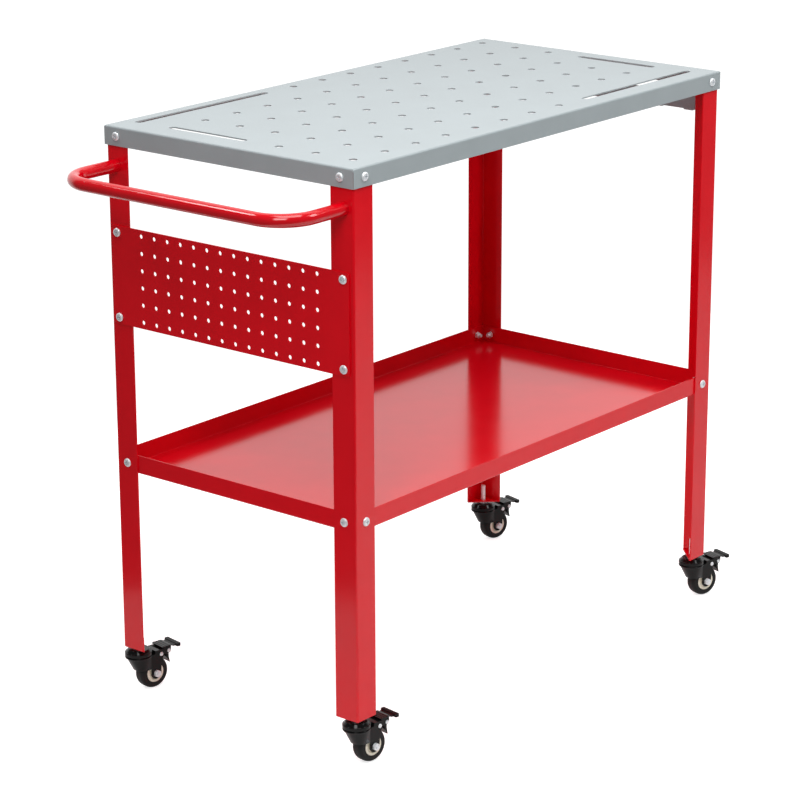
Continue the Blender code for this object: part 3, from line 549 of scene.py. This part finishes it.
rail_low, rail_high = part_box("hanger_rail")
rail_middle = (rail_low.y + rail_high.y) / 2
strip_foot = rail_low.z + HOOK_BEND
stations = [rail_low.y]
for number in range(HOOK_COUNT):
    hook_middle = rail_middle + (number - (HOOK_COUNT - 1) / 2) * HOOK_PITCH
    stations += [hook_middle - HOOK_WIDTH / 2, hook_middle + HOOK_WIDTH / 2]
stations.append(rail_high.y)
strip_start = (rail_low.x, (stations[0] + stations[1]) / 2, (strip_foot + rail_high.z) / 2)
bpy.ops.mesh.primitive_plane_add(size=1.0, location=strip_start, rotation=(0, -math.pi / 2, 0))
rail = bpy.context.object
rail.name = "hook_rail"
rail.scale = (rail_high.z - strip_foot, stations[1] - stations[0], 1)
bpy.ops.object.transform_apply(location=True, rotation=True, scale=True)
for before, after in zip(stations[1:], stations[2:]):
    select(rail, 'EDGE', lambda edge: at_both(edge, lambda spot: abs(spot.y - before) < TOUCH))
    pull((0, after - before, 0))
for number in range(HOOK_COUNT):
    hook_start = stations[2 * number + 1] - TOUCH
    hook_stop = stations[2 * number + 2] + TOUCH
    select(rail, 'EDGE', lambda edge: at_both(edge, lambda spot: abs(spot.z - strip_foot) < TOUCH
                                              and hook_start < spot.y < hook_stop))
    curl((rail_low.x + HOOK_BEND, 0, strip_foot), (0, 1, 0), HOOK_BEND_STEPS)
    pull((HOOK_REACH - 2 * HOOK_BEND, 0, 0))
    curl((rail_low.x + HOOK_REACH - HOOK_BEND, 0, strip_foot), (0, 1, 0), HOOK_BEND_STEPS)
    pull((0, 0, HOOK_LIP))
leave_edit()
thicken(rail, RAIL_SHEET)
soften(rail, EDGE_ROUND, EDGE_STEPS, FOLDED_ANGLE)
settle(rail, grey_coat, "frame", "grey_paint", "hanger_rail")


# The screws. Zinc-plated pan heads with a cross recess, each with its hexagon nut on the inside of the
# sheets. The rail's two screws have no nut: they are tapped into the legs and end flush with the inside.
SCREW_RADIUS = 0.003
SCREW_LENGTH = 0.014
SCREW_GRIP = 0.0046
SCREW_SIDES = 28
SCREW_EDGE = 0.00012
SCREW_EDGE_STEPS = 1
SCREW_ANGLE = 60
HEAD_RADIUS = 0.0065
HEAD_HEIGHT = 0.0028
HEAD_FLAT = 0.55
HEAD_STEPS = 6
HEAD_GAP = 0.0003
RECESS_WIDTH = 0.0016
RECESS_REACH = 0.0036
RECESS_DEPTH = 0.0020
THREAD_PITCH = 0.001
THREAD_DEPTH = 0.0004
NUT_RADIUS = 0.0055
NUT_HEIGHT = 0.0045
NUT_FACE = 0.86
NUT_BLANK_SIDES = 32
NUT_EDGE = 0.0002
NUT_ANGLE = 25
HEXAGON = 6
FULL_SPAN = (0.0, 1.0)
ZINC_DARK = (0.78, 0.83, 0.88)
ZINC_LIGHT = (0.92, 0.93, 0.93)
ZINC_GLOSS = (0.30, 0.48)
ZINC_SCALE = 220.0
ZINC_DETAIL = 3.0
ZINC_METAL = 0.4


def lathe(name, profile, steps):
    """Spin a (radius, height) profile about Z into a closed turned piece."""
    line = [(radius, 0, height) for radius, height in profile]
    piece = from_points(name, line, [(k, k + 1) for k in range(len(line) - 1)], [])
    bpy.ops.object.mode_set(mode='EDIT')
    bpy.ops.mesh.select_all(action='SELECT')
    bpy.ops.mesh.spin(steps=steps, angle=math.tau, center=(0, 0, 0), axis=(0, 0, 1))
    bpy.ops.mesh.select_all(action='SELECT')
    bpy.ops.mesh.remove_doubles(threshold=TOUCH)
    bpy.ops.mesh.normals_make_consistent(inside=False)
    leave_edit()
    return piece


def thread(radius, top, foot):
    """Profile of a screw thread's ridges, from its top down."""
    ridges = []
    height = top
    while height - THREAD_PITCH > foot:
        ridges += [(radius - THREAD_DEPTH, height), (radius, height - THREAD_PITCH / 2)]
        height -= THREAD_PITCH
    return ridges


def arc(middle, radii, start, stop, steps):
    """Points along part of an ellipse, angles in degrees, both ends included."""
    angles = [math.radians(start + (stop - start) * k / steps) for k in range(steps + 1)]
    return [(middle[0] + radii[0] * math.cos(a), middle[1] + radii[1] * math.sin(a)) for a in angles]


def joined(piece, *others):
    """Join other meshes into a piece."""
    only(piece)
    for other in others:
        other.select_set(True)
    bpy.ops.object.join()
    return piece


def hexagon_nut(name, radius, low, high):
    """A hexagon nut about Z between two heights, with its corners turned off at both faces."""
    middle = (0, 0, (low + high) / 2)
    bpy.ops.mesh.primitive_cylinder_add(vertices=HEXAGON, radius=radius, depth=high - low, location=middle)
    piece = bpy.context.object
    piece.name = name
    bpy.ops.object.transform_apply(location=True, rotation=True, scale=True)
    face = NUT_FACE * radius
    drop = (radius - face) / 2
    profile = [(0, high), (face, high), (radius, high - drop), (radius, low + drop), (face, low), (0, low)]
    cut(piece, lathe("nut_blank", profile, NUT_BLANK_SIDES), 'INTERSECT')
    soften(piece, NUT_EDGE, EDGE_STEPS, NUT_ANGLE)
    return piece


zinc = uneven("Bright zinc", ZINC_SCALE, ZINC_DETAIL, FULL_SPAN, ZINC_DARK, ZINC_LIGHT, ZINC_GLOSS)
zinc.node_tree.nodes["Principled BSDF"].inputs["Metallic"].default_value = ZINC_METAL
crown = HEAD_GAP + HEAD_HEIGHT
dome = ((1 - HEAD_FLAT) * HEAD_RADIUS, HEAD_HEIGHT)
profile = [(0, crown)] + arc((HEAD_FLAT * HEAD_RADIUS, HEAD_GAP), dome, 90, 0, HEAD_STEPS)
profile += [(SCREW_RADIUS, HEAD_GAP)] + thread(SCREW_RADIUS, -SCREW_GRIP, -SCREW_LENGTH)
profile += [(SCREW_RADIUS - THREAD_DEPTH, -SCREW_LENGTH), (0, -SCREW_LENGTH)]
screw = lathe("screw", profile, SCREW_SIDES)
driver = box_of("driver", (-RECESS_WIDTH / 2, -RECESS_WIDTH / 2, crown - RECESS_DEPTH),
                (RECESS_WIDTH / 2, RECESS_WIDTH / 2, crown + RECESS_DEPTH))
select(driver, 'FACE', lambda face: abs(face.normal.z) < 1 - FACING)
bpy.ops.mesh.extrude_faces_move(TRANSFORM_OT_shrink_fatten={"value": RECESS_REACH - RECESS_WIDTH / 2})
leave_edit()
cut(screw, driver, 'DIFFERENCE')
tapped = copy_of(screw, "tapped_screw")
select(tapped, 'FACE', lambda face: True)
bpy.ops.mesh.bisect(plane_co=(0, 0, -SCREW_GRIP), plane_no=(0, 0, -1), use_fill=True, clear_outer=True)
leave_edit()
joined(screw, hexagon_nut("nut", NUT_RADIUS, -SCREW_GRIP - NUT_HEIGHT, -SCREW_GRIP))
for model in (screw, tapped):
    soften(model, SCREW_EDGE, SCREW_EDGE_STEPS, SCREW_ANGLE)
ways = {"top_screw_end": 0, "top_screw_side": 1, "tray_screw_end": 0, "tray_screw_side": 1}
seats = []
for kind, axis in ways.items():
    for corner, sides in CORNERS.items():
        out_way = Vector((0, 0, 0))
        out_way[axis] = 1 if sides[axis] else -1
        seats.append((f"{kind}_{corner}", out_way))
for row in ("front", "back"):
    seats += [(f"panel_screw_{row}_{height}", Vector((-1, 0, 0))) for height in ("low", "high")]
    seats.append((f"rail_screw_{row}", Vector((1, 0, 0))))
for node, out_way in seats:
    screw_low, screw_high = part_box(node)
    seat = (screw_low + screw_high) / 2
    axis = 0 if out_way.x else 1
    outer = screw_high[axis] if out_way[axis] > 0 else screw_low[axis]
    seat[axis] = outer - out_way[axis] * crown
    model = tapped if node.startswith("rail") else screw
    fitted = copy_of(model, "pan_" + node)
    fitted.rotation_euler = out_way.to_track_quat('Z', 'Y').to_euler()
    fitted.location = seat
    settle(fitted, zinc, "frame", "zinc", node)
for row in ("front", "back"):
    node = "handle_screw_" + row
    screw_low, screw_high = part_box(node)
    seat = (screw_low + screw_high) / 2
    seat.x = screw_high.x - crown
    fitted = copy_of(screw, "pan_" + node)
    fitted.rotation_euler = (0, math.pi / 2, 0)
    fitted.location = seat
    settle(fitted, zinc, "frame", "zinc", node)
bpy.data.objects.remove(screw)
bpy.data.objects.remove(tapped)


# The casters. Each hangs by a threaded zinc stem from a leg's foot plate, with a black race cup and a jam nut
# under the foot. The fork is black pressed steel: a lower race, a round nose that narrows downwards, and two
# flat cheeks.
STEM_RADIUS = 0.004
STEM_CHAMFER = 0.0006
STEM_NUT_RADIUS = 0.0075
STUD_SIDES = 24
KINGPIN_RADIUS = 0.005
KINGPIN_HEAD = 0.008
KINGPIN_HEAD_HEIGHT = 0.002
RACE_RADIUS = 0.0205
RACE_BEAD = 0.0015
RACE_SIDES = 64
BEAD_STEPS = 6
CUP_RADIUS = 0.01625
CUP_SHOULDER = 0.004
CUP_ROUND = 0.001
CUP_ROUND_END = 30
ROUND_STEPS = 4
UPPER_RACE_HEIGHT = 0.010
LOWER_RACE_HEIGHT = 0.0035
TURN_GAP = 0.0003
FORK_SHEET = 0.002
FORK_RACE_LAP = 0.0015
FORK_NOSE = 0.019
FORK_NOSE_DEPTH = 0.0225
FORK_NOSE_LEAD = 0.0065
FORK_NOSE_FULLNESS = 3.0
FORK_NOSE_STEPS = 28
FORK_CREASE = 0.0012
FORK_CREASE_STEPS = 3
FORK_SADDLE_RISE = 0.005
FORK_SADDLE_GAP = 0.0008
FORK_TAIL = 0.0375
FORK_TAIL_DEPTH = 0.0105
FORK_KNEE_DROP = 0.011
FORK_END_STEPS = 18
FORK_EDGE = 0.0007
FORK_EDGE_STEPS = 3
FORK_ANGLE = 35
CHEEK_HALF = 0.013
PIN_HOLE_SIDES = 32
BLACK_DARK = (0.80, 0.80, 0.82)
BLACK_LIGHT = (1.25, 1.22, 1.22)
BLACK_DETAIL = 3.0
BLACK_SPREAD = 0.06
BLACK_SHINE = 0.22
STEEL_LEVEL = 0.005
STEEL_ROUGHNESS = 0.12
STEEL_GRAIN = 400.0
STEEL_RELIEF = 0.05
GRAIN_DEPTH = 0.0002


def black_coat(name, level, roughness, grain, strength):
    """Black coating with a faint uneven gloss and a fine texture."""
    dark = [level * part for part in BLACK_DARK]
    light = [level * part for part in BLACK_LIGHT]
    gloss = (roughness - BLACK_SPREAD, roughness + BLACK_SPREAD)
    material = uneven(name, grain, BLACK_DETAIL, FULL_SPAN, dark, light, gloss)
    nodes = material.node_tree.nodes
    nodes["Principled BSDF"].inputs["Specular IOR Level"].default_value = BLACK_SHINE
    relief(material, nodes["Mottle"], strength, GRAIN_DEPTH)
    return material


def race_rim(top, foot):
    """Profile of a race's rounded rim between two heights, from its top down."""
    bead = (RACE_BEAD, RACE_BEAD)
    rim = arc((RACE_RADIUS - RACE_BEAD, top - RACE_BEAD), bead, 90, 0, BEAD_STEPS)
    return rim + arc((RACE_RADIUS - RACE_BEAD, foot + RACE_BEAD), bead, 0, -90, BEAD_STEPS)


joints = {joint["name"]: joint for joint in frame["joints"]}
swivel = Vector(joints["swivel_front_left"]["pos_m"])
axle_spot = Vector(joints["roll_front_left"]["pos_m"])
pivot = Vector(joints["brake_front_left"]["pos_m"])
trail = (axle_spot - swivel).xy.length
axle_z = axle_spot.z
pivot_out = (pivot - swivel).xy.length
foot_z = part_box("leg_front_left")[0].z
stem_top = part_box("caster_stem_front_left")[1].z
deck = swivel.z
plate = deck - LOWER_RACE_HEIGHT + FORK_RACE_LAP
cup_low = deck + TURN_GAP
cup_top = cup_low + UPPER_RACE_HEIGHT
nut_top = foot_z - TURN_GAP
pin_top = plate - FORK_SHEET - TURN_GAP
small_round = (CUP_ROUND, CUP_ROUND)

black_steel = black_coat("Black coated steel", STEEL_LEVEL, STEEL_ROUGHNESS, STEEL_GRAIN, STEEL_RELIEF)
profile = [(0, stem_top), (STEM_RADIUS - STEM_CHAMFER, stem_top)]
profile += thread(STEM_RADIUS, stem_top - STEM_CHAMFER, nut_top)
profile += [(STEM_RADIUS, nut_top), (STEM_RADIUS, deck), (KINGPIN_RADIUS, deck), (KINGPIN_RADIUS, pin_top)]
profile += arc((KINGPIN_HEAD - CUP_ROUND, pin_top - CUP_ROUND), small_round, 90, 0, ROUND_STEPS)
profile += [(KINGPIN_HEAD, pin_top - KINGPIN_HEAD_HEIGHT), (0, pin_top - KINGPIN_HEAD_HEIGHT)]
stud = lathe("stud", profile, STUD_SIDES)
joined(stud, hexagon_nut("jam_nut", STEM_NUT_RADIUS, cup_top, nut_top))

profile = [(STEM_RADIUS, cup_top)]
profile += arc((CUP_RADIUS - CUP_ROUND, cup_top - CUP_ROUND), small_round, 90, CUP_ROUND_END, ROUND_STEPS)
profile += race_rim(cup_top - CUP_SHOULDER, cup_low)
profile += [(STEM_RADIUS, cup_low), (STEM_RADIUS, cup_top)]
cup = lathe("cup", profile, RACE_SIDES)

nose_join = math.sqrt(FORK_NOSE ** 2 - CHEEK_HALF ** 2)
end_round = trail - nose_join
saddle = RACE_RADIUS + FORK_SADDLE_GAP
saddle_top = plate + FORK_SADDLE_RISE
nose_low = plate - FORK_NOSE_DEPTH
crest = [(nose_join, plate), (saddle, plate), (saddle + FORK_SADDLE_GAP, saddle_top), (FORK_TAIL, saddle_top)]
flank = [(FORK_TAIL, saddle_top - FORK_TAIL_DEPTH),
         (trail + end_round + FORK_SADDLE_GAP, pivot.z - FORK_KNEE_DROP)]
flank += arc((trail, axle_z), (end_round, end_round), 0, -180, FORK_END_STEPS) + [(nose_join, nose_low)]
rim = crest + flank
points = [(u, -CHEEK_HALF, z) for u, z in rim] + [(u, CHEEK_HALF, z) for u, z in rim]
count = len(rim)
faces = [tuple(range(count)), tuple(range(2 * count - 1, count - 1, -1))]
for k in range(len(crest) - 1):
    faces.append((k + 1, k, k + count, k + count + 1))
swing = math.atan2(CHEEK_HALF, nose_join)
fullness = 2 / FORK_NOSE_FULLNESS
upper = [count]
lower = [2 * count - 1]
for k in range(1, FORK_NOSE_STEPS):
    share = k / FORK_NOSE_STEPS
    angle = swing + (math.tau - 2 * swing) * share
    ahead = math.sin(math.pi * share) ** fullness
    aside = math.copysign(abs(math.cos(math.pi * share)) ** fullness, 0.5 - share)
    upper.append(len(points))
    points.append((FORK_NOSE * math.cos(angle), FORK_NOSE * math.sin(angle), plate))
    lower.append(len(points))
    points.append((nose_join - (nose_join + FORK_NOSE_LEAD) * ahead, CHEEK_HALF * aside, nose_low))
upper.append(0)
lower.append(count - 1)
faces.append(tuple(upper))
for k in range(FORK_NOSE_STEPS):
    faces.append((upper[k], lower[k], lower[k + 1], upper[k + 1]))
fork = from_points("fork", points, [], faces)
select(fork, 'FACE', lambda face: True)
bpy.ops.mesh.normals_make_consistent(inside=False)
select(fork, 'EDGE', lambda edge: at_both(edge, lambda spot: abs(spot.x - nose_join) < TOUCH)
       and edge.verts[0].co.y * edge.verts[1].co.y > 0)
bpy.ops.mesh.bevel(offset=FORK_CREASE, segments=FORK_CREASE_STEPS, affect='EDGES')
leave_edit()
thicken(fork, FORK_SHEET)
pin_hole = KINGPIN_RADIUS + TURN_GAP
bpy.ops.mesh.primitive_cylinder_add(vertices=PIN_HOLE_SIDES, radius=pin_hole, depth=4 * FORK_SHEET,
                                    location=(0, 0, plate))
cut(fork, bpy.context.object, 'DIFFERENCE')
soften(fork, FORK_EDGE, FORK_EDGE_STEPS, FORK_ANGLE)
race_low = deck - LOWER_RACE_HEIGHT
profile = [(pin_hole, deck)] + race_rim(deck, race_low) + [(pin_hole, race_low), (pin_hole, deck)]
joined(fork, lathe("lower_race", profile, RACE_SIDES))


# The wheels. A moulded cream plastic hub carries a black tyre with round shoulders, and turns on a zinc axle
# bolt that is held in the fork's cheeks by a hexagon head and a hexagon nut.
WHEEL_RADIUS = 0.02475
WHEEL_HALF = 0.010
WHEEL_SIDE_GAP = 0.001
TYRE_CROWN = 0.0045
TYRE_TREAD_HALF = 0.003
TYRE_LIP = 0.0006
TYRE_SIDES = 64
TYRE_SHOULDER_STEPS = 12
HUB_RADIUS = 0.01475
HUB_RIM = 0.004
HUB_BOSS = 0.0075
HUB_RECESS = 0.0025
HUB_EDGE = 0.0004
HUB_GROOVE = 0.0003
HUB_SIDES = 48
AXLE_RADIUS = 0.003
AXLE_SIDES = 20
AXLE_NUT_RADIUS = 0.00575
AXLE_NUT_HEIGHT = 0.0045
AXLE_TAIL = 0.0018
CREAM_DARK = (0.93, 0.86, 0.70)
CREAM_LIGHT = (0.97, 0.92, 0.80)
CREAM_GLOSS = (0.34, 0.46)
CREAM_SCALE = 150.0
CREAM_DETAIL = 2.0
CREAM_RELIEF = 0.04
TYRE_LEVEL = 0.008
TYRE_ROUGHNESS = 0.45
TYRE_GRAIN = 900.0
TYRE_RELIEF = 0.12


def mirrored(half):
    """A closed profile from its upper half."""
    return half + [(radius, -height) for radius, height in reversed(half)] + half[:1]


def laid(piece, spot, turn):
    """Turn a lathed piece about X onto the caster's cross axis and move it to a spot of the upright plane."""
    piece.matrix_world = Matrix.Translation((spot[0], 0, spot[1])) @ Matrix.Rotation(turn, 4, 'X')
    only(piece)
    bpy.ops.object.transform_apply(location=True, rotation=True, scale=True)
    return piece


cream = uneven("Cream plastic", CREAM_SCALE, CREAM_DETAIL, FULL_SPAN, CREAM_DARK, CREAM_LIGHT, CREAM_GLOSS)
relief(cream, cream.node_tree.nodes["Mottle"], CREAM_RELIEF, GRAIN_DEPTH)
tyre_black = black_coat("Black tyre", TYRE_LEVEL, TYRE_ROUGHNESS, TYRE_GRAIN, TYRE_RELIEF)
boss = WHEEL_HALF + WHEEL_SIDE_GAP - TURN_GAP
hub_face = WHEEL_HALF - TURN_GAP
web = hub_face - HUB_RECESS
rim_inside = HUB_RADIUS - HUB_RIM
groove = HUB_RADIUS - HUB_RIM / 3
half = [(AXLE_RADIUS + TURN_GAP, boss), (HUB_BOSS, boss), (HUB_BOSS, web), (rim_inside, web),
        (rim_inside, hub_face - HUB_EDGE), (rim_inside + HUB_EDGE, hub_face),
        (groove - 2 * HUB_GROOVE, hub_face), (groove - HUB_GROOVE, hub_face - HUB_GROOVE),
        (groove + HUB_GROOVE, hub_face - HUB_GROOVE), (groove + 2 * HUB_GROOVE, hub_face),
        (HUB_RADIUS, hub_face)]
hub = lathe("hub", mirrored(half), HUB_SIDES)
tyre_seat = HUB_RADIUS + TURN_GAP
shoulder = (TYRE_CROWN, WHEEL_HALF - TYRE_TREAD_HALF)
half = [(tyre_seat, WHEEL_HALF - TYRE_LIP), (tyre_seat + TYRE_LIP, WHEEL_HALF)]
half += arc((WHEEL_RADIUS - TYRE_CROWN, TYRE_TREAD_HALF), shoulder, 90, 0, TYRE_SHOULDER_STEPS)
tyre = lathe("tyre", mirrored(half), TYRE_SIDES)
nut_inner = CHEEK_HALF + TURN_GAP
nut_outer = nut_inner + AXLE_NUT_HEIGHT
tail = nut_outer + AXLE_TAIL
profile = [(0, nut_outer), (AXLE_RADIUS, nut_outer), (AXLE_RADIUS, -nut_outer)]
profile += thread(AXLE_RADIUS, -nut_outer, -tail) + [(AXLE_RADIUS - THREAD_DEPTH, -tail), (0, -tail)]
axle = lathe("axle", profile, AXLE_SIDES)
joined(axle, hexagon_nut("axle_head", AXLE_NUT_RADIUS, nut_inner, nut_outer),
       hexagon_nut("axle_nut", AXLE_NUT_RADIUS, -nut_outer, -nut_inner))
for wheel_piece in (hub, tyre, axle):
    laid(wheel_piece, (trail, axle_z), -math.pi / 2)


# The brake pedals. A pressed black tread with cross ribs and a dip ends in a thick ribbed lip. Two cheeks
# hang it on the fork's pivot rivet, and a pointed shoe on a second rivet stands behind the wheel. The rivets
# are zinc.
PEDAL_SHEET = 0.0016
PEDAL_DROP = 0.008
PEDAL_START = 0.0345
PEDAL_FLAT = 0.0165
PEDAL_DIP = 0.002
PEDAL_DIP_LENGTH = 0.0085
PEDAL_DIP_STEPS = 8
PEDAL_DIP_SWEEP = 0.75 * math.pi
PEDAL_EDGE = 0.0004
PEDAL_LIP = 0.0085
PEDAL_LIP_HEIGHT = 0.005
PEDAL_LIP_ROUND = 0.0015
PEDAL_LIP_CORNER = 0.003
PEDAL_LIP_CORNER_STEPS = 6
PEDAL_LIP_EDGE = 0.0006
PEDAL_LIP_EDGE_STEPS = 3
PEDAL_WIDTH = 0.0265
PEDAL_LIP_WIDTH = 0.033
PEDAL_CHEEK = 0.0015
PEDAL_CHEEK_GAP = 0.0005
PEDAL_EAR = 0.004
LINK_EAR_STEPS = 8
PIVOT_EAR_STEPS = 14
LINK_OUT = 0.016
LINK_RISE = 0.001
SHOE_REACH = 0.018
SHOE_DEPTH = 0.0192
SHOE_WIDTH = 0.0045
SHOE_LENGTH = 0.0075
SLAB_EDGE = 0.0003
SLAB_ANGLE = 30
RIB_COUNT = 3
RIB_HEIGHT = 0.0005
RIB_SLOPE = 0.3
RIVET_RADIUS = 0.002
RIVET_HEAD = 0.0032
RIVET_HEIGHT = 0.0016
RIVET_HEAD_STEPS = 6
RIVET_SIDES = 24


def slab(name, outline, low, high):
    """A flat outline in the caster's upright plane, filled and extruded across it."""
    piece = from_points(name, [(u, low, z) for u, z in outline], [], [tuple(range(len(outline)))])
    select(piece, 'FACE', lambda face: True)
    pull((0, high - low, 0))
    bpy.ops.mesh.select_all(action='SELECT')
    bpy.ops.mesh.normals_make_consistent(inside=False)
    leave_edit()
    return piece


def ribs(start, length, height):
    """Outline of cross ribs over a length, or of grooves where the height is negative."""
    step = length / (2 * RIB_COUNT + 1)
    line = []
    for k in range(RIB_COUNT):
        near = start + (2 * k + 1) * step
        line += [(near, 0), (near + RIB_SLOPE * step, height), (near + (1 - RIB_SLOPE) * step, height),
                 (near + step, 0)]
    return line


def rivet(name, spot, half):
    """A rivet across the caster with a low domed head at each end."""
    head = arc((0, half), (RIVET_HEAD, RIVET_HEIGHT), 90, 0, RIVET_HEAD_STEPS)
    profile = head + [(RIVET_RADIUS, half), (RIVET_RADIUS, -half)]
    profile += [(radius, -height) for radius, height in reversed(head)]
    return laid(lathe(name, profile, RIVET_SIDES), spot, math.pi / 2)


pedal_z = foot_z - PEDAL_DROP
dip_start = PEDAL_START + PEDAL_FLAT
lip_start = dip_start + PEDAL_DIP_LENGTH
lip_end = lip_start + PEDAL_LIP
tread = [(PEDAL_START, 0)] + ribs(PEDAL_START, PEDAL_FLAT, RIB_HEIGHT)
for k in range(PEDAL_DIP_STEPS + 1):
    share = k / PEDAL_DIP_STEPS
    tread.append((dip_start + PEDAL_DIP_LENGTH * share, -PEDAL_DIP * math.sin(PEDAL_DIP_SWEEP * share) ** 2))
tread.append((lip_start + PEDAL_LIP / 2, -PEDAL_LIP_ROUND))
points = [(u, aside * PEDAL_WIDTH / 2, pedal_z + rise) for u, rise in tread for aside in (-1, 1)]
faces = [(2 * k, 2 * k + 2, 2 * k + 3, 2 * k + 1) for k in range(len(tread) - 1)]
pedal = from_points("pedal", points, [], faces)
thicken(pedal, PEDAL_SHEET)
soften(pedal, PEDAL_EDGE, EDGE_STEPS, FOLDED_ANGLE)

lip_low = pedal_z - PEDAL_LIP_HEIGHT
lip_half = PEDAL_LIP_WIDTH / 2
turn = PEDAL_LIP_ROUND
lip_round = (turn, turn)
grooves = ribs(lip_start + turn, PEDAL_LIP - 2 * turn, -RIB_HEIGHT)
outline = arc((lip_start + turn, lip_low + turn), lip_round, 180, 270, ROUND_STEPS)
outline += arc((lip_end - turn, lip_low + turn), lip_round, 270, 360, ROUND_STEPS)
outline += arc((lip_end - turn, pedal_z - turn), lip_round, 0, 90, ROUND_STEPS)
outline += [(u, pedal_z + rise) for u, rise in reversed(grooves)]
outline += arc((lip_start + turn, pedal_z - turn), lip_round, 90, 180, ROUND_STEPS)
lip_bar = slab("pedal_lip", outline, -lip_half, lip_half)
plan = box_of("lip_plan", (lip_start, -lip_half, lip_low - turn), (lip_end, lip_half, pedal_z + turn))
select(plan, 'EDGE', lambda edge: abs(edge.verts[0].co.z - edge.verts[1].co.z) > turn)
bpy.ops.mesh.bevel(offset=PEDAL_LIP_CORNER, segments=PEDAL_LIP_CORNER_STEPS, affect='EDGES')
leave_edit()
cut(lip_bar, plan, 'INTERSECT')
soften(lip_bar, PEDAL_LIP_EDGE, PEDAL_LIP_EDGE_STEPS, FOLDED_ANGLE)

link = (pivot_out + LINK_OUT, pivot.z + LINK_RISE)
cheek_out = CHEEK_HALF - FORK_SHEET - PEDAL_CHEEK_GAP
cheek_in = cheek_out - PEDAL_CHEEK
rise_edge = FORK_TAIL + FORK_SADDLE_GAP
under = pedal_z - PEDAL_SHEET / 2
ear = (PEDAL_EAR, PEDAL_EAR)
outline = [(rise_edge, under), (link[0] + PEDAL_EAR, under)]
outline += arc(link, ear, 0, -90, LINK_EAR_STEPS)
outline += arc((pivot_out, pivot.z), ear, -90, -270, PIVOT_EAR_STEPS)
outline += [(rise_edge, pivot.z + PEDAL_EAR)]
root = link[1] - RIVET_RADIUS
throat = root - SHOE_LENGTH
shoe_line = [(link[0] - SHOE_WIDTH, root), (link[0], root), (link[0], throat),
             (pivot_out + SHOE_REACH, pivot.z - SHOE_DEPTH), (link[0] - SHOE_WIDTH, throat)]
shoe_half = (cheek_out + cheek_in) / 2
plates = [slab("near_cheek", outline, -cheek_out, -cheek_in), slab("far_cheek", outline, cheek_in, cheek_out),
          slab("shoe", shoe_line, -shoe_half, shoe_half)]
for part in plates:
    soften(part, SLAB_EDGE, EDGE_STEPS, SLAB_ANGLE)
joined(pedal, lip_bar, *plates)
pivot_rivet = rivet("pivot_rivet", (pivot_out, pivot.z), CHEEK_HALF)
link_rivet = rivet("link_rivet", link, cheek_out)


# The four casters put together. Each is a set of the pieces above under one leg, turned to the way its axle
# points at rest. The stem stays with the frame, the fork swivels, the wheel rolls and the pedal tips.
kit = [(stud, "stem_stud", zinc, "frame", "zinc", "caster_stem"),
       (cup, "stem_race", black_steel, "frame", "black_steel", "caster_stem"),
       (fork, "pressed_fork", black_steel, "fork", "black_steel", "caster_fork"),
       (pivot_rivet, "pivot_rivet", zinc, "fork", "zinc", None),
       (axle, "axle_bolt", zinc, "fork", "zinc", "caster_axle"),
       (hub, "wheel_hub", cream, "wheel", "cream_plastic", "caster_hub"),
       (tyre, "wheel_tyre", tyre_black, "wheel", "tyre_rubber", "caster_tyre"),
       (pedal, "pressed_pedal", black_steel, "pedal", "black_steel", "brake_pedal"),
       (link_rivet, "link_rivet", zinc, "pedal", "zinc", None)]
for corner in CORNERS:
    spot = joints["swivel_" + corner]["pos_m"]
    across = joints["roll_" + corner]["axis"]
    yaw = math.atan2(-across[0], across[1])
    for model, name, finish, carrier, slot, node in kit:
        fitted = copy_of(model, f"{name}_{corner}")
        fitted.location = (spot[0], spot[1], 0)
        fitted.rotation_euler.z = yaw
        body = carrier if carrier == "frame" else f"{carrier}_{corner}"
        settle(fitted, finish, body, slot, *([f"{node}_{corner}"] if node else []))
for model, *_ in kit:
    bpy.data.objects.remove(model)
